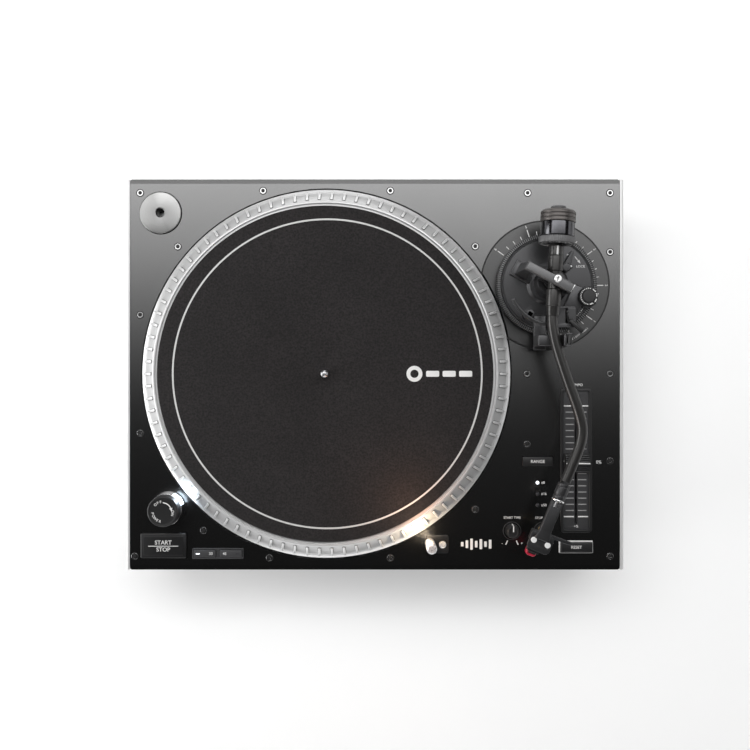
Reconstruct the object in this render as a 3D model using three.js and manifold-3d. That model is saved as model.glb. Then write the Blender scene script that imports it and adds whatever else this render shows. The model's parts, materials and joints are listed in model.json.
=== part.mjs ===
// A direct-drive DJ record player with an S-shaped tonearm.
// Millimetres, +Z up. The origin is on the table under the middle of the plinth,
// +X is to the right and +Y is to the rear of the deck.

import * as THREE from 'three';
import Module from 'manifold-3d';
import { mergeVertices } from 'three/addons/utils/BufferGeometryUtils.js';

const wasm = await Module();
wasm.setup();

// ---- driving dimensions ---------------------------------------------------

const GAP = 0.3; // clearance between two pieces that touch on the real deck

const WIDTH = 450; // over the side trims
const DEPTH = 353;
const TRIM = 3.5; // width of a side trim
const FOOT_HEIGHT = 30;
const SPLIT_Z = 62; // joint between base tub and upper chassis
const DECK_Z = 98; // upper face of the top plate
const SHEET = 2; // thickness of the top plate
const WALL = 6;
const LIP = { width: 4.2, drop: 0.8 }; // the deck's front and rear edges slope down

const PLATTER = { x: -43.7, y: 0.6, radius: 166, top: 117 };
const WELL_RADIUS = 167.5; // round opening that the platter turns in
const WELL_FLOOR = 83; // top of the floor under the platter
const SPINDLE_RADIUS = 5;
const MAT = { radius: 148, thickness: 2.5 };

const PIVOT = { x: 153.6, y: 80.5, z: 141 }; // where the tonearm's two bearing axes cross
const ARM_LEAN = -3.2 * THREE.MathUtils.DEG2RAD; // arm line from +Y, at rest
const OFFSET_ANGLE = -22.4 * THREE.MathUtils.DEG2RAD; // headshell and bearing line
const TUBE_RADIUS = 4.5;
const ARM_PLATE_TOP = 110; // top of the round arm base
const HEIGHT_RING = { inner: 41.5, outer: 44.6, top: 109 };

const BRIDGE_ANGLE = -27.7 * THREE.MathUtils.DEG2RAD; // arch over the bearings
// From the pivot, on the round arm base:
const LIFT_POST = { x: -19.5, y: -27.9, radius: 3 };
const CUE_SLOT = { x: 17.2, y: -28.5, width: 3.4, length: 13 };
const ANTI_SKATE = { x: 34.9, y: -11.6, radius: 8.6 };
const ARM_REST = { y: -51, depth: 10, wall: 8.4 };

const FEET = { x: 180, y: 128, radius: 27, stud: 5 };
const ADAPTER = { x: -193.5, y: 145.9, radius: 18.85 };
const TOWER = { x: -186.3, y: -120.4, base: 15.2, cap: 13.2, split: 111, top: 121.5 };
const START_KEY = { x: -190.6, y: -154.4, width: 41.3, depth: 22.6 };
const SPEED_KEYS = { x: -141.6, y: -161.6, width: 46.4, depth: 9.6, pitch: 23.6 };
const LAMP = { x: 49.7, y: -152.2, radius: 4.5, top: 128 };
const LAMP_KEY = { x: 61.2, y: -153.6, radius: 3.2 };
const START_KNOB = { x: 123.9, y: -141.2 };
const STOP_KNOB = { x: 151.6, y: -141.4 };
const RANGE_KEY = { x: 147, y: -78.6, width: 27.4, depth: 8.3 };
const RESET_KEY = { x: 181.9, y: -156, width: 28, depth: 8.4 };
const RANGE_LEDS = { x: 147, y: [-97.8, -107.9, -118.1], radius: 1.5 };
const FADER = { x: 181.8, y: -77.7, width: 28.5, depth: 130.4, travel: 100, zero: -79.5 };
const TERMINALS = { x: 140, width: 100, bottom: 40, top: 58, wall: 156 };
const INLET = { x: -110, width: 30, z: 48, height: 22 };

// ---- finishes -------------------------------------------------------------

const SATIN_BLACK = { color: 0x1b1b1d, roughness: 0.42, metalness: 0.6 };
const MOULDED_BLACK = { color: 0x151516, roughness: 0.6, metalness: 0 };
const SOFT_RUBBER = { color: 0x101010, roughness: 0.9, metalness: 0 };
const BARE_ALUMINIUM = { color: 0xc9cacc, roughness: 0.3, metalness: 1 };
const CHROME = { color: 0xe6e6e6, roughness: 0.08, metalness: 1 };
const STEEL = { color: 0x9a9da0, roughness: 0.35, metalness: 1 };
const GREY_PLASTIC = { color: 0x39393b, roughness: 0.5, metalness: 0 };
const WHITE_PLASTIC = { color: 0xe9e9e9, roughness: 0.4, metalness: 0 };
const RED_PLASTIC = { color: 0xc02233, roughness: 0.35, metalness: 0 };
const FELT = { color: 0x262324, roughness: 0.95, metalness: 0 };
const COPPER = { color: 0xb4622e, roughness: 0.35, metalness: 1 };
const FERRITE = { color: 0x3a3a3d, roughness: 0.7, metalness: 0.2 };
const BOARD_GREEN = { color: 0x1f5a36, roughness: 0.6, metalness: 0 };
const BRASS = { color: 0xc6a052, roughness: 0.25, metalness: 1 };
const GLOSS_BLACK = { color: 0x121214, roughness: 0.2, metalness: 0.5 };

// ---- solids ---------------------------------------------------------------

function solidOf(geometry) {
  geometry.deleteAttribute('normal');
  geometry.deleteAttribute('uv');
  const welded = mergeVertices(geometry, 1e-4);
  const index = Array.from(welded.index.array);
  const triangles = [];
  for (let i = 0; i < index.length; i += 3) {
    const [a, b, c] = index.slice(i, i + 3);
    if (a !== b && b !== c && c !== a) triangles.push(a, b, c);
  }
  const position = welded.attributes.position;
  if (signedVolume(position, triangles) < 0) triangles.reverse();
  return new wasm.Manifold(new wasm.Mesh({
    numProp: 3,
    vertProperties: new Float32Array(position.array),
    triVerts: new Uint32Array(triangles),
  }));
}

function signedVolume(position, triangles) {
  const [a, b, c] = [new THREE.Vector3(), new THREE.Vector3(), new THREE.Vector3()];
  let volume = 0;
  for (let i = 0; i < triangles.length; i += 3) {
    a.fromBufferAttribute(position, triangles[i]);
    b.fromBufferAttribute(position, triangles[i + 1]);
    c.fromBufferAttribute(position, triangles[i + 2]);
    volume += a.dot(b.cross(c)) / 6;
  }
  return volume;
}

function geometryOf(solid) {
  const mesh = solid.getMesh();
  const geometry = new THREE.BufferGeometry();
  geometry.setAttribute('position', new THREE.BufferAttribute(mesh.vertProperties, 3));
  geometry.setIndex(new THREE.BufferAttribute(mesh.triVerts, 1));
  geometry.computeVertexNormals();
  return geometry;
}

function join(first, ...others) {
  return others.reduce((whole, piece) => whole.add(piece), first);
}

function cut(whole, ...tools) {
  return tools.reduce((rest, tool) => rest.subtract(tool), whole);
}

function box(width, depth, z0, z1, x = 0, y = 0) {
  const geometry = new THREE.BoxGeometry(width, depth, z1 - z0);
  return solidOf(geometry.translate(x, y, (z0 + z1) / 2));
}

function disc(radius, z0, z1, x = 0, y = 0, sides = 32) {
  return cone(radius, radius, z0, z1, x, y, sides);
}

function cone(lower, upper, z0, z1, x = 0, y = 0, sides = 32) {
  const geometry = new THREE.CylinderGeometry(upper, lower, z1 - z0, sides);
  return solidOf(geometry.rotateX(Math.PI / 2).translate(x, y, (z0 + z1) / 2));
}

function roundedPlate(width, depth, radius, z0, z1, x = 0, y = 0) {
  const [w, d] = [width / 2, depth / 2];
  const outline = new THREE.Shape();
  outline.absarc(w - radius, d - radius, radius, 0, Math.PI / 2);
  outline.absarc(radius - w, d - radius, radius, Math.PI / 2, Math.PI);
  outline.absarc(radius - w, radius - d, radius, Math.PI, 1.5 * Math.PI);
  outline.absarc(w - radius, radius - d, radius, 1.5 * Math.PI, 2 * Math.PI);
  return extruded(outline, z0, z1, 4, x, y);
}

function extruded(outline, z0, z1, curveSegments = 12, x = 0, y = 0) {
  const options = { depth: z1 - z0, bevelEnabled: false, curveSegments };
  return solidOf(new THREE.ExtrudeGeometry(outline, options).translate(x, y, z0));
}

// A profile of [radius, height] points turned about the Z axis. A profile that leaves
// the axis open is closed back to its first point.
function turned(profile, sides = 24) {
  const points = profile.map(([r, z]) => new THREE.Vector2(r, z));
  if (profile[0][0] > 0) points.push(points[0].clone());
  return solidOf(new THREE.LatheGeometry(points, sides).rotateX(Math.PI / 2));
}

// A round rod along Y, tapered from front radius to rear radius.
function rod(front, rear, y0, y1, sides = 24) {
  const geometry = new THREE.CylinderGeometry(rear, front, y1 - y0, sides);
  return solidOf(geometry.translate(0, (y0 + y1) / 2, 0));
}

function part(name, solid, finish, parent = turntable) {
  const mesh = new THREE.Mesh(geometryOf(solid), new THREE.MeshStandardMaterial(finish));
  mesh.name = name;
  parent.add(mesh);
  return mesh;
}

function frameAt(x, y, z, turn = 0, parent = turntable) {
  const group = new THREE.Group();
  group.position.set(x, y, z);
  group.rotation.z = turn;
  parent.add(group);
  return group;
}

const turntable = new THREE.Group();

// ---- plinth ---------------------------------------------------------------

const CORNERS = [
  ['front_left', -1, -1],
  ['front_right', 1, -1],
  ['rear_left', -1, 1],
  ['rear_right', 1, 1],
];

function baseTub() {
  const floor = FOOT_HEIGHT + WALL;
  const outer = roundedPlate(WIDTH - 6, DEPTH - 6, 8, FOOT_HEIGHT, SPLIT_Z);
  const hollow = roundedPlate(WIDTH - 6 - 2 * WALL, DEPTH - 6 - 2 * WALL, 4, floor, SPLIT_Z + 1);
  let tub = cut(outer, hollow);
  for (const [, sx, sy] of CORNERS) {
    tub = tub.add(disc(10, FOOT_HEIGHT, 50, sx * FEET.x, sy * FEET.y, 20));
    tub = tub.subtract(disc(5.4, FOOT_HEIGHT - 1, 51, sx * FEET.x, sy * FEET.y, 20));
  }
  for (const [x, y] of [[-135, -105], [35, -105], [-135, 35], [35, 35]]) {
    tub = tub.add(disc(3, floor - 1, floor + 2, x, y, 12));
  }
  return cut(
    tub.add(box(TERMINALS.width + 8, 26, floor - 1, SPLIT_Z, TERMINALS.x, 160.5))
      .add(box(INLET.width + 8, 26, floor - 1, SPLIT_Z, INLET.x, 160.5)),
    box(TERMINALS.width, 22, TERMINALS.bottom - 2, TERMINALS.top + 1, TERMINALS.x, 167),
    box(INLET.width + 0.8, 40, INLET.z - 11.4, INLET.z + 11.4, INLET.x, 166),
    box(60, 8, TERMINALS.bottom + 4, TERMINALS.top - 4, TERMINALS.x, 153),
  );
}

function upperChassis() {
  const [low, high] = [SPLIT_Z + GAP, DECK_Z - SHEET - GAP];
  const width = WIDTH - 2 * TRIM - 2 * GAP;
  const frame = cut(
    roundedPlate(width, DEPTH, 3, low, high),
    roundedPlate(width - 2 * WALL, DEPTH - 2 * WALL, 2, low - 1, high + 1),
  );
  const well = disc(WELL_RADIUS + 5, WELL_FLOOR - 3, high, PLATTER.x, PLATTER.y, 72);
  const armShelf = box(124, 124, 88, 93, PIVOT.x, PIVOT.y);
  const rib = box(110, 4, 70, high, 165, 8);
  const adapterCup = disc(ADAPTER.radius + 4, 86, high, ADAPTER.x, ADAPTER.y, 28);
  const solid = join(frame, well, armShelf, rib, adapterCup);
  const bounds = box(width - 2, DEPTH - 2, low - 5, high);
  return cut(
    solid.intersect(bounds).add(frame),
    disc(WELL_RADIUS + 0.6, WELL_FLOOR, high + 1, PLATTER.x, PLATTER.y, 72),
    disc(12.6, 70, 90, PLATTER.x, PLATTER.y, 20),
    disc(36, 80, 99, PIVOT.x, PIVOT.y, 28),
    disc(58, 93, 99, PIVOT.x, PIVOT.y, 48),
    disc(ADAPTER.radius + 0.8, 89, high + 1, ADAPTER.x, ADAPTER.y, 28),
  );
}

function topPlate() {
  const under = DECK_Z - SHEET - 1;
  const over = DECK_Z + 1;
  const width = WIDTH - 2 * TRIM - 2 * GAP;
  const holes = [
    disc(WELL_RADIUS, under, over, PLATTER.x, PLATTER.y, 72),
    disc(58, under, over, PIVOT.x, PIVOT.y, 48),
    disc(ADAPTER.radius + 0.6, under, over, ADAPTER.x, ADAPTER.y, 28),
    disc(8, under, over, TOWER.x, TOWER.y, 16),
    keyHole(START_KEY),
    box(SPEED_KEYS.width - 2, SPEED_KEYS.depth - 2, under, over, SPEED_KEYS.x, SPEED_KEYS.y),
    disc(LAMP.radius + 1, under, over, LAMP.x, LAMP.y, 16),
    disc(LAMP_KEY.radius + 0.6, under, over, LAMP_KEY.x, LAMP_KEY.y, 16),
    disc(3.6, under, over, START_KNOB.x, START_KNOB.y, 16),
    disc(3.6, under, over, STOP_KNOB.x, STOP_KNOB.y, 16),
    keyHole(RANGE_KEY),
    keyHole(RESET_KEY),
    box(FADER.width - 3, FADER.depth - 3, under, over, FADER.x, FADER.y),
  ];
  for (const y of RANGE_LEDS.y) {
    holes.push(disc(RANGE_LEDS.radius + GAP, under, over, RANGE_LEDS.x, y, 12));
  }
  return cut(roundedPlate(width, DEPTH, 2, DECK_Z - SHEET, DECK_Z), ...holes, lip(1), lip(-1));
}

function lip(side) {
  const edge = DEPTH / 2;
  const wedge = new THREE.Shape([
    new THREE.Vector2(side * (edge - LIP.width), DECK_Z),
    new THREE.Vector2(side * (edge + 1), DECK_Z - LIP.drop * (1 + 1 / LIP.width)),
    new THREE.Vector2(side * (edge + 1), DECK_Z + 1),
    new THREE.Vector2(side * (edge - LIP.width), DECK_Z + 1),
  ]);
  const bar = new THREE.ExtrudeGeometry(wedge, { depth: WIDTH, bevelEnabled: false });
  return solidOf(bar.rotateX(Math.PI / 2).rotateZ(Math.PI / 2).translate(-WIDTH / 2, 0, 0));
}

function keyHole(key) {
  const [width, depth] = [key.width + 2 * GAP, key.depth + 2 * GAP];
  return box(width, depth, DECK_Z - SHEET - 1, DECK_Z + 1, key.x, key.y);
}

function sideTrim() {
  const [low, high] = [SPLIT_Z + GAP, DECK_Z];
  const profile = new THREE.Shape();
  profile.moveTo(0, low);
  profile.lineTo(TRIM - 0.8, low);
  profile.lineTo(TRIM, low + 0.8);
  profile.lineTo(TRIM, high - 1.5);
  profile.lineTo(TRIM - 1.5, high);
  profile.lineTo(0, high);
  const options = { depth: DEPTH, bevelEnabled: false };
  const geometry = new THREE.ExtrudeGeometry(profile, options);
  return solidOf(geometry.rotateX(Math.PI / 2).translate(0, DEPTH / 2, 0));
}

function addPlinth() {
  part('base_tub', baseTub(), MOULDED_BLACK);
  part('upper_chassis', upperChassis(), SATIN_BLACK);
  part('top_plate', topPlate(), SATIN_BLACK);
  part('side_trim_right', sideTrim(), BARE_ALUMINIUM).position.x = WIDTH / 2 - TRIM;
  const left = part('side_trim_left', sideTrim(), BARE_ALUMINIUM);
  left.position.x = TRIM - WIDTH / 2;
  left.rotation.z = Math.PI;
}

function addFeet() {
  const profile = turned([
    [0, 0], [20, 0], [22, 2], [22, 5], [FEET.radius - 1, 5], [FEET.radius, 8],
    [FEET.radius, 24], [FEET.radius - 3, FOOT_HEIGHT - GAP], [FEET.stud, FOOT_HEIGHT - GAP],
    [FEET.stud, 48], [0, 48],
  ], 20);
  for (const [corner, sx, sy] of CORNERS) {
    part(`foot_${corner}`, profile, SOFT_RUBBER).position.set(sx * FEET.x, sy * FEET.y, 0);
  }
}

// ---- drive ----------------------------------------------------------------

function platterDisc() {
  const { radius, top } = PLATTER;
  const [rim, web] = [148.4, top - 6];
  return turned([
    [SPINDLE_RADIUS + GAP, 101], [15, 101], [15, web], [rim, web], [160, 102], [160, 88],
    [radius, 88], [radius, 100.5], [radius - 1.5, 101.5], [radius - 4, 101.5],
    [152.2, top + 1.2], [150.6, top + 1.2], [150, top], [SPINDLE_RADIUS + GAP, top],
  ], 72);
}

function statorCore() {
  const height = [87, 97];
  let core = disc(22, ...height, 0, 0, 18);
  const poles = 9;
  for (let i = 0; i < poles; i++) {
    const turn = (i * 2 * Math.PI) / poles;
    const arm = new THREE.BoxGeometry(18, 8, 9).translate(29, 0, 92);
    const shoe = new THREE.BoxGeometry(4, 18, 10).translate(39, 0, 92);
    core = core.add(solidOf(arm.rotateZ(turn))).add(solidOf(shoe.rotateZ(turn)));
  }
  return core.subtract(disc(12.4, 80, 100, 0, 0, 20));
}

function bearingHousing() {
  const bore = SPINDLE_RADIUS + GAP;
  return turned([
    [0, 50], [12, 50], [12, WELL_FLOOR + GAP], [30, WELL_FLOOR + GAP], [30, 86.5],
    [12, 86.5], [12, 100], [bore, 100], [bore, 53], [0, 53],
  ], 20);
}

function addDrive() {
  const centre = frameAt(PLATTER.x, PLATTER.y, 0);
  const matBottom = PLATTER.top + GAP;
  const matTop = matBottom + MAT.thickness;
  part('platter', platterDisc(), BARE_ALUMINIUM, centre);
  part('slip_mat', cut(
    disc(MAT.radius, matBottom, matTop, 0, 0, 72),
    disc(4, matBottom - 1, matTop + 1, 0, 0, 16),
  ), FELT, centre);
  part('spindle', turned([
    [0, 53.3], [SPINDLE_RADIUS, 53.3], [SPINDLE_RADIUS, PLATTER.top], [3.6, PLATTER.top],
    [3.6, 131], [2.4, 134], [0, 134.6],
  ], 16), CHROME, centre);
  part('rotor_magnet', cut(
    disc(62, 99, PLATTER.top - 6 - GAP, 0, 0, 32),
    disc(45, 98, 112, 0, 0, 32),
  ), FERRITE, centre);
  part('motor_stator', statorCore(), COPPER, centre);
  part('bearing_housing', bearingHousing(), STEEL, centre);
  part('main_board', mainBoard(), BOARD_GREEN);
  part('power_transformer', transformer(), STEEL);
}

function mainBoard() {
  const board = 38 + GAP;
  return join(
    box(180, 150, board, board + 1.6, -50, -35),
    box(22, 22, board + 1, board + 4, -60, -60),
    box(14, 14, board + 1, board + 4, -20, -75),
    box(60, 6, board + 1, board + 20, -95, 30),
    disc(8, board + 1, board + 20, -110, -10, 16),
    disc(8, board + 1, board + 20, -110, -35, 16),
    disc(5, board + 1, board + 14, 10, -20, 16),
  );
}

function transformer() {
  const floor = FOOT_HEIGHT + WALL + GAP;
  return join(
    box(56, 46, floor, floor + 22, -170, 60),
    box(34, 60, floor + 2, floor + 20, -170, 60),
  );
}

// ---- sockets at the rear --------------------------------------------------

function addTerminals() {
  const face = TERMINALS.wall + GAP;
  const middle = (TERMINALS.bottom + TERMINALS.top) / 2;
  const panel = frameAt(TERMINALS.x, face, middle);
  const height = TERMINALS.top - TERMINALS.bottom - 0.6;
  let plate = solidOf(new THREE.BoxGeometry(98, 2, height).translate(0, 1, 0));
  for (const x of [-14, 6]) {
    plate = plate.add(solidOf(new THREE.CylinderGeometry(6, 6, 2, 20).translate(x, 2.5, 0)));
  }
  plate = plate.subtract(solidOf(new THREE.BoxGeometry(12.6, 8, 5.2).translate(32, 1, 0)));
  plate = plate.add(solidOf(new THREE.CylinderGeometry(2, 2, 10, 16).translate(-36, 6, 0)));
  part('terminal_panel', plate, GREY_PLASTIC, panel);
  const jackProfile = [[1.6, 3.8], [4.2, 3.8], [4.2, 11.5], [1.6, 11.5]];
  const jack = turned([[1.6, 3.8], ...jackProfile.slice(1)], 20);
  for (const [side, x] of [['left', 6], ['right', -14]]) {
    const mesh = part(`phono_jack_${side}`, jack, BRASS, panel);
    mesh.position.x = x;
    mesh.rotation.x = -Math.PI / 2;
  }
  const nut = turned([[2.4, 4], [5, 4], [5, 9], [2.4, 9]], 12);
  const groundNut = part('ground_nut', nut, BRASS, panel);
  groundNut.position.x = -36;
  groundNut.rotation.x = -Math.PI / 2;
  const toggle = join(
    solidOf(new THREE.BoxGeometry(5, 4.4, 3.6).translate(29.2, 2.2, 0)),
    solidOf(new THREE.BoxGeometry(6, 2, 4.2).translate(29.2, 1, 0)),
  );
  part('phono_line_switch', toggle, WHITE_PLASTIC, panel);
  addInlet();
}

function addInlet() {
  const inlet = frameAt(INLET.x, 160, INLET.z);
  const body = new THREE.BoxGeometry(INLET.width, 26, INLET.height);
  const socket = new THREE.BoxGeometry(21, 18, 12).translate(0, 5.1, 0);
  let housing = cut(solidOf(body), solidOf(socket));
  for (const x of [-4.3, 4.3]) {
    const pin = new THREE.CylinderGeometry(1.2, 1.2, 12, 12).translate(x, 1.6, 0);
    housing = housing.add(solidOf(pin));
  }
  part('power_inlet', housing, MOULDED_BLACK, inlet);
}

// ---- controls -------------------------------------------------------------

function key(size, top, radius = 0.8) {
  return roundedPlate(size.width, size.depth, radius, DECK_Z - 8, top);
}

function addKeys() {
  part('start_stop_button', key(START_KEY, DECK_Z + 2.5), MOULDED_BLACK)
    .position.set(START_KEY.x, START_KEY.y, 0);
  part('range_button', key(RANGE_KEY, DECK_Z + 1.2), GREY_PLASTIC)
    .position.set(RANGE_KEY.x, RANGE_KEY.y, 0);
  part('reset_button', key(RESET_KEY, DECK_Z + 1.2), GREY_PLASTIC)
    .position.set(RESET_KEY.x, RESET_KEY.y, 0);
  const speed = frameAt(SPEED_KEYS.x, SPEED_KEYS.y, 0);
  const speedKey = { width: 20, depth: 6.4 };
  const half = SPEED_KEYS.pitch / 2;
  const window = [speedKey.width + 2 * GAP, speedKey.depth + 2 * GAP];
  part('speed_key_frame', cut(
    join(
      roundedPlate(SPEED_KEYS.width, SPEED_KEYS.depth, 1, DECK_Z + GAP, DECK_Z + 1.4),
      box(SPEED_KEYS.width - 2.6, SPEED_KEYS.depth - 2.6, DECK_Z - 4, DECK_Z + 1),
    ),
    box(...window, DECK_Z - 5, DECK_Z + 2, -half, 0),
    box(...window, DECK_Z - 5, DECK_Z + 2, half, 0),
  ), GREY_PLASTIC, speed);
  part('button_33', key(speedKey, DECK_Z + 2), GREY_PLASTIC, speed).position.x = -half;
  part('button_45', key(speedKey, DECK_Z + 2), GREY_PLASTIC, speed).position.x = half;
  const leds = RANGE_LEDS.y.map((y) => disc(RANGE_LEDS.radius, 90, DECK_Z + 0.4, 0, y, 12));
  const lightBar = join(box(6, 28, 88, 92, 0, RANGE_LEDS.y[1]), ...leds);
  part('range_light_guide', lightBar, WHITE_PLASTIC).position.x = RANGE_LEDS.x;
}

function addTower() {
  const tower = frameAt(TOWER.x, TOWER.y, 0);
  part('strobe_tower_base', turned([
    [3.5, DECK_Z - 6], [7.6, DECK_Z - 6], [7.6, DECK_Z + GAP], [TOWER.base, DECK_Z + GAP],
    [TOWER.base, DECK_Z + 2], [TOWER.cap + 1, TOWER.split], [3.5, TOWER.split],
  ], 24), CHROME, tower);
  part('power_knob', turned([
    [0, DECK_Z - 2], [3.1, DECK_Z - 2], [3.1, TOWER.split + GAP],
    [TOWER.cap + 0.9, TOWER.split + GAP], [TOWER.cap, TOWER.top - 0.6],
    [TOWER.cap - 0.6, TOWER.top], [0, TOWER.top],
  ], 24), MOULDED_BLACK, tower);
}

function addTargetLight() {
  const [x, y] = [(LAMP.x + LAMP_KEY.x) / 2 + 1.2, LAMP.y - 0.9];
  part('target_light_plate', cut(
    roundedPlate(20, 16.4, 2, DECK_Z + GAP, DECK_Z + 1.2, x, y),
    disc(LAMP.radius + 0.5, DECK_Z - 1, DECK_Z + 2, LAMP.x, LAMP.y, 16),
    disc(LAMP_KEY.radius + 0.4, DECK_Z - 1, DECK_Z + 2, LAMP_KEY.x, LAMP_KEY.y, 16),
  ), MOULDED_BLACK);
  const stem = turned([
    [0, 68], [LAMP.radius, 68], [LAMP.radius, LAMP.top - 1], [LAMP.radius - 1, LAMP.top],
    [0, LAMP.top],
  ], 16);
  const lens_notch = new THREE.BoxGeometry(5, 12, 8).translate(-3.4, 0, LAMP.top - 8);
  part('target_light', cut(stem, solidOf(lens_notch.rotateZ(-1))), MOULDED_BLACK)
    .position.set(LAMP.x, LAMP.y, 0);
  part('target_light_button', disc(LAMP_KEY.radius, DECK_Z - 6, DECK_Z + 2.6, 0, 0, 16),
    GREY_PLASTIC).position.set(LAMP_KEY.x, LAMP_KEY.y, 0);
}

function timeKnob() {
  return turned([
    [0, DECK_Z - 12], [3, DECK_Z - 12], [3, DECK_Z + GAP], [6.6, DECK_Z + GAP],
    [5.4, DECK_Z + 9], [4.8, DECK_Z + 9.6], [0, DECK_Z + 9.6],
  ], 20);
}

function addFader() {
  const { x, y, width, depth, travel, zero } = FADER;
  const fader = frameAt(x, y, 0);
  part('fader_plate', cut(
    join(
      roundedPlate(width, depth, 4, DECK_Z + GAP, DECK_Z + 1.4),
      box(width - 3.6, depth - 3.6, DECK_Z - 3, DECK_Z + 1),
    ),
    roundedPlate(23.1, 125.3, 2.5, DECK_Z - 0.2, DECK_Z + 2),
    box(2.6, travel + 14, DECK_Z - 5, DECK_Z + 1, 0, zero - y),
  ), GREY_PLASTIC, fader);
  part('fader_track', cut(
    box(16, travel + 30, 72, 93),
    box(3.4, travel + 16, 78, 94, 0, zero - y),
  ), STEEL, fader);
  const cap = frameAt(x, zero, 0);
  const skirt = box(22, 16.5, DECK_Z + 1.7, DECK_Z + 5);
  const crown = new THREE.CylinderGeometry(6.2, 8.6, 5, 4, 1).rotateX(Math.PI / 2);
  crown.rotateZ(Math.PI / 4).scale(1.7, 1.2, 1).translate(0, 0, DECK_Z + 7);
  part('tempo_fader_cap', join(
    skirt,
    solidOf(crown),
    box(1.8, 8, 80, DECK_Z + 3),
  ), GREY_PLASTIC, cap);
}

function addControls() {
  addKeys();
  addTower();
  addTargetLight();
  part('start_time_knob', timeKnob(), MOULDED_BLACK).position.set(START_KNOB.x, START_KNOB.y, 0);
  part('stop_time_knob', timeKnob(), MOULDED_BLACK).position.set(STOP_KNOB.x, STOP_KNOB.y, 0);
  addFader();
  part('adapter_45', turned([
    [3.6, 89.3], [ADAPTER.radius, 89.3], [ADAPTER.radius, DECK_Z + 0.6], [ADAPTER.radius - 1, 99.4],
    [5.4, 100.6], [3.6, 100],
  ], 32), BARE_ALUMINIUM).position.set(ADAPTER.x, ADAPTER.y, 0);
}

// ---- tonearm base ---------------------------------------------------------

// A block standing on the arm plate, in the plate's own frame.
function post(width, depth, z0, z1, x, y, turn = 0) {
  const geometry = new THREE.BoxGeometry(width, depth, z1 - z0);
  return solidOf(geometry.rotateZ(turn).translate(x, y, (z0 + z1) / 2));
}

function mountPlate() {
  return cut(
    disc(57.5, 93.3, DECK_Z + 0.6, PIVOT.x, PIVOT.y, 48),
    disc(30, 90, 100, PIVOT.x, PIVOT.y, 28),
    disc(WELL_RADIUS + 0.3, 90, 100, PLATTER.x, PLATTER.y, 72),
  );
}

function armBase() {
  const plateBottom = 103;
  const overRing = HEIGHT_RING.top + 0.6;
  return cut(
    join(
      disc(41.1, plateBottom, ARM_PLATE_TOP, 0, 0, 48),
      disc(28, 86, 104, 0, 0, 28),
      disc(16.4, plateBottom, 113, 0, 0, 40),
      cone(12.8, 11.5, 112.9, 126, 0, 0, 28),
      post(19.3, 14.7, overRing, 113, -22.3, 10.6, BRIDGE_ANGLE),
      post(14, 24, overRing, 113, 24.6, -13.2, OFFSET_ANGLE),
      disc(9.6, overRing, 113, ANTI_SKATE.x, ANTI_SKATE.y, 24),
      post(24, 19, overRing, 114, 12, -29.5),
      ...armRest(overRing),
    ),
    disc(6.4, 108, 127, 0, 0, 24),
    disc(22, 84, 104, 0, 0, 32),
    disc(LIFT_POST.radius + GAP, 102, 115, LIFT_POST.x, LIFT_POST.y, 16),
    post(CUE_SLOT.width, CUE_SLOT.length, 106, 115, CUE_SLOT.x, CUE_SLOT.y),
    disc(3.5, 110.2, 117, ANTI_SKATE.x, ANTI_SKATE.y, 16),
  );
}

// An arm out to the front, a cradle for the tube, and a wall with two lugs for the clip.
function armRest(overRing) {
  const { y, depth, wall } = ARM_REST;
  const lugs = [-1, 1].map((side) => post(5, 1.3, 143, 150, wall + 2.5, y + side * 4.95));
  return [
    post(11, 31, overRing, 114, -7.5, -43.5),
    post(22.6, depth, 113, 119, -1.7, y),
    post(18, depth, 118, 136, -4, y),
    post(2.4, depth, 118, 146.5, wall, y),
    ...lugs,
  ];
}

function armBridge() {
  const [low, high] = [150.5, 155];
  return join(
    box(44.2, 8, low, high, -6.2, -1.4),
    box(8.5, 9.4, 113 + GAP, high, -24.05, -0.7),
    box(2.7, 7, 113 + GAP, high, 14.55, -1.4),
  );
}

function gimbalRing() {
  const [low, high] = [127, 150.1];
  return cut(
    join(box(24.4, 6, low, high), disc(6, 112, low + 1, 0, 0, 24)),
    box(18, 8, low + 4, high - 2.2),
  );
}

function cueLifter() {
  const [inner, outer] = [36, 39.5];
  const [from, to] = [204, 261].map(THREE.MathUtils.degToRad);
  const arc = new THREE.Shape();
  arc.absarc(0, 0, outer, from, to, false);
  arc.absarc(0, 0, inner, to, from, true);
  return join(
    extruded(arc, 133, 136, 16),
    disc(LIFT_POST.radius, 112, 134, LIFT_POST.x, LIFT_POST.y, 16),
  );
}

function heightRing() {
  const { inner, outer, top } = HEIGHT_RING;
  return turned([
    [inner - 11, 99], [outer, 99], [outer, top - 0.5], [outer - 0.5, top], [inner, top],
    [inner, 102.6], [inner - 11, 102.6],
  ], 48);
}

function addArmBase() {
  part('tonearm_mount_plate', mountPlate(), SATIN_BLACK);
  const base = frameAt(PIVOT.x, PIVOT.y, 0);
  part('height_ring', heightRing(), SATIN_BLACK, base);
  part('arm_base', armBase(), SATIN_BLACK, base);
  part('arm_bridge', armBridge(), SATIN_BLACK, frameAt(0, 0, 0, BRIDGE_ANGLE, base));
  const bearing = frameAt(0, 0, 0, OFFSET_ANGLE, base);
  part('gimbal_ring', gimbalRing(), SATIN_BLACK, bearing);
  part('cue_lifter', cueLifter(), SATIN_BLACK, base);
  addBaseControls(base);
}

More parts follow.
